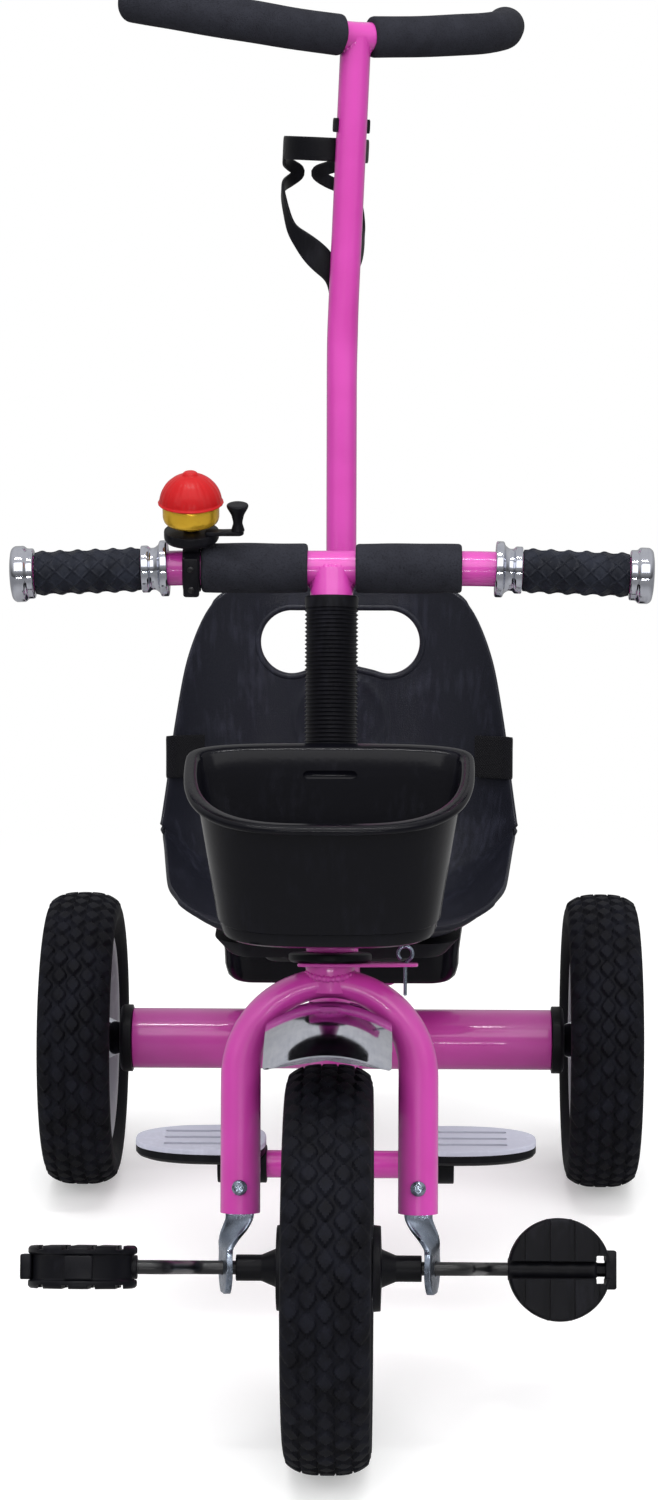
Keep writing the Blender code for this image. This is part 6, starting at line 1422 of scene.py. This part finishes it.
belt_path = dense(softened(belt_line(), 0.004, 8), 0.0012)
back_up = seat_point(BELT_ALONG + 0.05, 0.0) - seat_point(BELT_ALONG - 0.05, 0.0)
share = np.concatenate([np.linspace(-1.0, 1.0, 25), np.linspace(1.0, -1.0, 25)])
face = np.repeat([0.5, -0.5], 25) * BELT_THICK * np.where(
    np.abs(share) > 0.9, 0.55 + 0.45 * (1.0 - np.abs(share)) / 0.1, 1.0)
belt_across, belt_along = share * BELT_HALF, lengths(belt_path)
made = piece("seat_belt_webbing", swept(belt_path, np.stack([belt_across, face], -1), back_up, GROUND), STRAP,
             "frame", "seat_belt", crease=50.0,
             attributes={"along": np.repeat(belt_along, 50), "across": np.tile(belt_across, len(belt_path))})
print("belt cut to", round(2000.0 * BELT_HALF, 1), "by", round(1000.0 * float(belt_along[-1]), 1), "mm")

# %% [markdown]
# The luggage box behind the seat is an open moulding with round corners and a rolled rim. A
# pressed shelf on a short post carries it over the rear axle.

# %% Luggage box and shelf
BOX_HALF, BOX_START, BOX_DEEP, BOX_LOW, BOX_TALL, BOX_WALL = 0.097, 0.466, 0.13, 0.162, 0.076, 0.003
box_at = GROUND @ shift(0.0, BOX_START + BOX_DEEP / 2.0)
box_top, shelf_high = BOX_LOW + BOX_TALL, BOX_LOW - 0.0003


def box_ring(share, offset, height):
    """Rounded rectangle at a share of the height, smaller at the floor."""
    scale = 0.9 + 0.1 * share
    return at_height(rounded_box(BOX_HALF * scale - offset, BOX_DEEP / 2.0 * scale - offset,
                                 0.022 - min(max(offset, 0.0), 0.01), 14), height)


levels = [(0.0, 0.012, BOX_LOW), (0.0, 0.004, BOX_LOW + 0.0008), (0.0, 0.0012, BOX_LOW + 0.0035),
          (0.03, 0.0003, BOX_LOW + 0.0075), (0.1, 0.0, BOX_LOW + 0.012)]
levels += [(share, 0.003 * share, BOX_LOW + 0.012 + (BOX_TALL - 0.0205) * share)
           for share in np.linspace(0.2, 0.96, 5)]
levels += [(share, offset, box_top - under) for share, offset, under in (
    (0.97, 0.003, 0.008), (0.99, 0.0008, 0.0074), (1.0, 0.0, 0.0062), (1.0, 0.0, 0.0012),
    (1.0, 0.001, 0.0002),
    (1.0, 0.005, 0.0), (1.0, 0.006, 0.0008))]
levels += [(share, BOX_WALL + 0.003 * share, BOX_LOW + 0.014 + (BOX_TALL - 0.018) * share)
           for share in np.linspace(0.95, 0.05, 5)]
levels += [(0.0, 0.005, BOX_LOW + 0.007), (0.0, 0.013, BOX_LOW + BOX_WALL)]
piece("luggage_box_moulding", moved(skin([box_ring(*level) for level in levels]), box_at), GLOSS_BLACK,
      "frame",
      "rear_box")
made = piece("box_shelf_post", box_shell((-0.02, WHEELBASE - 0.006, REAR_HIGH),
                                         (0.02, WHEELBASE + 0.006, shelf_high - 0.002), 0.001, GROUND), PINK,
             "frame")
carved(made, rod(REAR_TUBE + 0.0003, -0.1, 0.1, rear_at @ along_x(), 96))
shelf = plate(rounded_box(0.04, 0.036, 0.008), shelf_high - 0.003, shelf_high, 0.0005,
              box_at @ shift(0.0, -0.012))
piece("box_shelf_plate", shelf, PINK, "frame", "box_shelf")

# %% [markdown]
# The push handle is a pole that leans back, bends forwards in the middle, and carries a swept
# crossbar. The bend was pressed, so the tube is a little flattened there. The foams follow the
# crossbar and close over its ends.

# %% Push handle
HANDLE_TURN, POLE_BEND, POLE_FOOT, BEND_HIGH, HANDLE_HIGH = 26.0, 6.0, SOCKET_LOW + 0.012, 0.645, 0.86
UPPER = (HANDLE_HIGH - BEND_HIGH) / math.cos(math.radians(LEAN - POLE_BEND))
LOWER = (BEND_HIGH - POLE_FOOT) / math.cos(math.radians(LEAN))
BAR_STRAIGHT, BAR_BEND, BAR_SWEEP, BAR_END_LENGTH, BAR_RISE = 0.067, 0.085, math.radians(60.0), 0.026, 0.018
BAR_ROUND, SPONGE_ROUND = 0.0105, 0.015
BAR_TOTAL = BAR_STRAIGHT + BAR_BEND * BAR_SWEEP + BAR_END_LENGTH
HANDLE = GROUND @ shift(0.0, on_pole(POLE_FOOT), POLE_FOOT) @ turn("X", -LEAN) @ turn("Z", HANDLE_TURN)
HANDLE_TOP = HANDLE @ shift(z=LOWER) @ turn("X", POLE_BEND) @ shift(z=UPPER)


def crossbar(start, end, steps):
    """Half of the swept bar between two lengths from its middle: straight, arc, straight."""
    length = np.linspace(start, end, steps)
    turned = np.clip((length - BAR_STRAIGHT) / BAR_BEND, 0.0, BAR_SWEEP)
    rest = np.maximum(length - BAR_STRAIGHT - BAR_BEND * BAR_SWEEP, 0.0)
    x = np.minimum(length, BAR_STRAIGHT) + BAR_BEND * np.sin(turned) + rest * math.cos(BAR_SWEEP)
    y = BAR_BEND * (1.0 - np.cos(turned)) + rest * math.sin(BAR_SWEEP)
    return np.stack([x, y, BAR_RISE * (length / BAR_TOTAL) ** 1.4], -1)


def rounded_end(distance, reach):
    """Share of the radius at a distance from a bar's end, which closes in a quarter circle."""
    return np.sqrt(1.0 - (1.0 - np.clip(distance / reach, 0.0, 1.0)) ** 2)


tip = (0.0, -UPPER * math.sin(math.radians(POLE_BEND)), LOWER + UPPER * math.cos(math.radians(POLE_BEND)))
pole_line = dense(softened([(0.0, 0.0, 0.0), (0.0, 0.0, LOWER), tip], 0.034, 20), 0.0035)
pressed = np.exp(-((pole_line[:, 2] - LOWER) / 0.02) ** 2)
pole_section = circle(POLE_TUBE, 48) * (1.0 + pressed[:, None, None] * np.array([0.035, -0.07]))
half_bar = crossbar(0.0, BAR_TOTAL - 0.006, 70)
bar_points = np.vstack([half_bar[:0:-1] * [-1.0, 1.0, 1.0], half_bar])
handle_weld = saddle(BAR_ROUND + 0.0002, POLE_TUBE - 0.0008, -1, 0.9)
piece("push_handle_tube", [swept(pole_line, pole_section, matrix=HANDLE),
                           swept(bar_points, circle(BAR_ROUND), (0.0, 0.0, 1.0), HANDLE_TOP),
                           weld_bead(handle_weld, 0.0016, 24, HANDLE_TOP)], PINK, "handle", "push_handle")

for side, word in SIDES:
    line = crossbar(POLE_TUBE + 0.0005, BAR_TOTAL, 120) * [side, 1.0, 1.0]
    length = np.linalg.norm(np.gradient(line, axis=0), axis=1).cumsum()
    radius = (SPONGE_ROUND * (0.8 + 0.2 * rounded_end(length - length[0], 0.003))
              * np.maximum(rounded_end(length[-1] - length, 0.0095), 0.03))
    angle, along = full_turn(56), length[:, None]
    waves = np.sin(2.0 * angle + along * 60.0) + 0.7 * np.sin(3.0 * angle - along * 110.0)
    section = arc(angle) * (radius[:, None] * (1.0 - 0.009 * (waves + 1.7)))[..., None]
    made = piece("handle_foam_sponge_" + word, swept(line, section, (0.0, 0.0, 1.0), HANDLE_TOP), FOAM,
                 "handle",
                 "handle_foam_" + word, crease=60.0)

# %% [markdown]
# The bottle cage behind the pole is one springy moulding: an open ring, two bands that waist in
# and out to grip a bottle, and a tail where they meet. A bolt closes its clamp.

# %% Bottle cage
CAGE = HANDLE_TOP @ shift(z=-0.072)
RING, BAND, RING_TALL, CAGE_LONG = 0.029, 0.0025, 0.017, 0.1225
BACK_Y = POLE_TUBE + 0.0003
# Each band lies on the bottle's round: its share of the length, bearing, and width.
BAND_WAY = np.array([(0.06, 4.0, 0.0100), (0.11, 16.0, 0.0095), (0.15, 42.0, 0.0095), (0.18, 64.0, 0.0095),
                     (0.21, 76.0, 0.0095), (0.245, 66.0, 0.0095), (0.29, 38.0, 0.0090), (0.36, 12.0, 0.0085),
                     (0.45, -4.0, 0.0080), (0.53, -16.0, 0.0095), (0.60, -34.0, 0.0140),
                     (0.68, -56.0, 0.0185),
                     (0.76, -74.0, 0.0165), (0.84, -84.0, 0.0110), (0.97, -88.0, 0.0070)])


def strip(line, widths, side=(0.0, 0.0, 1.0)):
    """Flat strip with rounded edges along a line of the cage: its width lies along the given side."""
    outline = rounded_box(1.0, 1.0, 0.5, 5)
    across = outline[:, 0] * np.broadcast_to(widths, len(line))[:, None] / 2.0
    up = np.broadcast_to(outline[:, 1] * BAND / 2.0, across.shape)
    return swept(line, np.stack([across, up], -1), side, CAGE)


ring_line = at_height(arc(np.radians(np.linspace(128.0, 412.0, 90)), RING + BAND / 2.0), -RING_TALL / 2.0)
clamp_line = at_height(arc(np.radians(np.linspace(-8.0, 188.0, 60)), POLE_TUBE + 0.0016), 0.009)
cage = [strip(ring_line + [0.0, BACK_Y + BAND + RING, 0.0], RING_TALL),
        box_shell((-0.006, BACK_Y, -CAGE_LONG), (0.006, BACK_Y + BAND, 0.016), 0.001, CAGE)]
way = smooth_path(BAND_WAY * [1.0, 0.01, 1.0], 130)
for side in (-1, 1):
    out = at_height(arc(np.radians(100.0 * way[:, 1])) * [side, 1.0], 0.0)
    line = out * (RING + BAND / 2.0) + [0.0, BACK_Y + BAND + RING, 0.0]
    line[:, 2] = -CAGE_LONG * way[:, 0]
    cage.append(strip(line, way[:, 2], np.cross(np.gradient(line, axis=0), out)))
cage.append(strip(clamp_line, 0.01))
piece("bottle_cage_moulding", cage, SATIN_BLACK, "handle", "bottle_cage")
bolt_line = [(0.0, 0.006), (0.003, 0.0062), (0.0042, 0.005), (0.0042, 0.0003), (0.0, 0.0003)]
bolt_at = CAGE @ shift(0.0, POLE_TUBE + 0.0028, 0.009) @ turn("X", -90.0)
piece("cage_bolt_head", lathe(bolt_line, bolt_at, 36, 0.0008), CHROME, "handle", "cage_bolt")

# %% [markdown]
# The room is plain: a pale floor that keeps the tricycle's shadow, a bright surround, and large
# soft lamps overhead and at both sides, as in a product studio. The floor and the surround look
# white to the camera alone. A mirror sees a darker floor and a surround that is bright only
# above, with two narrow strip lamps that draw the crisp lines on enamel and chrome.

# %% Floor, surround and lamps
WHITE = (1.0, 1.0, 1.0, 1.0)
FLOOR_HALF, FLOOR_GLOW, FADE_START, FADE_END = 6.0, 0.30, 0.45, 1.30
SURROUND_LIGHT, SURROUND_MIRROR, EYE_LEVEL_FRONT, EYE_LEVEL_BACK = 0.60, 0.66, 0.11, 0.40


def studio_floor():
    """Pale floor that fades to white with the distance from the tricycle.

    Near the tricycle it is diffuse and takes its shadow, and a small glow is added for the
    camera; far away the glow alone is left, so that no edge of the floor shows. Mirrors see
    about a third of both.
    """
    graph = material("studio_floor")
    camera_ray, mirror_ray, clear_ray = graph.outputs(graph.node("LightPath"), "Is Camera Ray",
                                                      "Is Glossy Ray",
                                                      "Is Transmission Ray")
    seen = camera_ray + mirror_ray * 0.35 + clear_ray
    grey = 0.80 - mirror_ray * 0.50
    matt = graph.node("BsdfDiffuse", values={"Color": graph.node("CombineXYZ", values={0: grey, 1: grey,
                                                                                       2: grey})})
    glow = graph.node("Emission", values={"Color": WHITE, "Strength": seen * FLOOR_GLOW})
    near = graph.node("AddShader", values={0: matt, 1: glow})
    far = graph.node("Emission", values={"Color": WHITE, "Strength": seen})
    away = graph.node("VectorMath", {"operation": "LENGTH"}, {0: graph.place()}, "Value")
    fade = graph.node("MapRange", {"interpolation_type": "SMOOTHSTEP"},
                      {"Value": away, "From Min": FADE_START, "From Max": FADE_END})
    graph.node("OutputMaterial", values={"Surface": graph.node("MixShader", values={0: fade, 1: near,
                                                                                    2: far})})
    return graph.owner


def studio_world():
    """Surround: white to the camera, a plain light to matt surfaces, and soft bands to mirrors.

    A mirror sees a surround that is dim at eye level, dimmest behind the camera, and rises to a
    bright ceiling, as in a studio with one large screen overhead.
    """
    graph = Graph(bpy.data.worlds.new("studio"))
    camera_ray, mirror_ray, clear_ray = graph.outputs(graph.node("LightPath"), "Is Camera Ray",
                                                      "Is Glossy Ray",
                                                      "Is Transmission Ray")
    split = graph.node("SeparateXYZ", values={0: graph.node("TexCoord", output="Generated")})
    depth, height = graph.outputs(split, "Y", "Z")
    eye_level = graph.range(depth, -0.2, 0.6, EYE_LEVEL_FRONT, EYE_LEVEL_BACK)
    seen = eye_level + graph.range(height, 0.05, 0.60) * (SURROUND_MIRROR - eye_level)
    strength = (camera_ray * (1.0 - SURROUND_LIGHT) + (mirror_ray + clear_ray) * (seen - SURROUND_LIGHT)
                + SURROUND_LIGHT)
    light = graph.node("Background", values={"Color": WHITE, "Strength": strength})
    graph.node("OutputWorld", values={"Surface": light})
    return graph.owner


def lamp(name, place, target, width, height, power, mirrored=True):
    """Rectangular soft lamp at a place, aimed at a target; mirrors may be kept from seeing it."""
    light = bpy.data.lights.new(name, "AREA")
    light.shape = "RECTANGLE"
    light.size, light.size_y, light.energy = width, height, power
    made = bpy.data.objects.new(name, light)
    made.location = place
    made.visible_glossy = mirrored
    made.rotation_euler = (Vector(target) - Vector(place)).to_track_quat("-Z", "Y").to_euler()
    bpy.context.scene.collection.objects.link(made)


bpy.context.scene.world = studio_world()
floor_mesh = bpy.data.meshes.new("floor")
floor_corners = [(x * FLOOR_HALF, y * FLOOR_HALF, 0.0) for x, y in ((-1, -1), (1, -1), (1, 1), (-1, 1))]
floor_mesh.from_pydata(floor_corners, [], [(0, 1, 2, 3)])
floor_mesh.materials.append(studio_floor())
floor = bpy.data.objects.new("floor", floor_mesh)
bpy.context.scene.collection.objects.link(floor)
lamp("overhead_lamp", (0.0, -0.3, 2.3), (0.0, 0.0, 0.3), 2.2, 1.6, 18.0, False)
lamp("left_lamp", (-1.8, -1.7, 1.4), (0.0, 0.0, 0.45), 1.2, 1.8, 24.0, False)
lamp("right_lamp", (1.9, -1.5, 1.3), (0.0, 0.0, 0.45), 1.2, 1.8, 24.0, False)
lamp("front_lamp", (0.1, -1.9, 2.1), (0.0, 0.0, 0.5), 2.8, 1.5, 21.0)
lamp("high_strip", (-0.1, -0.6, 2.4), (0.0, 0.0, 0.3), 1.1, 0.04, 11.0)
lamp("low_strip", (0.0, -2.8, 0.35), (0.0, 0.0, 0.3), 1.1, 0.04, 7.0)
lamp("back_lamp", (0.4, 2.2, 1.6), (0.0, 0.0, 0.5), 1.6, 1.0, 12.0, False)
bpy.context.scene.view_settings.view_transform = "Standard"
print("studio ready")
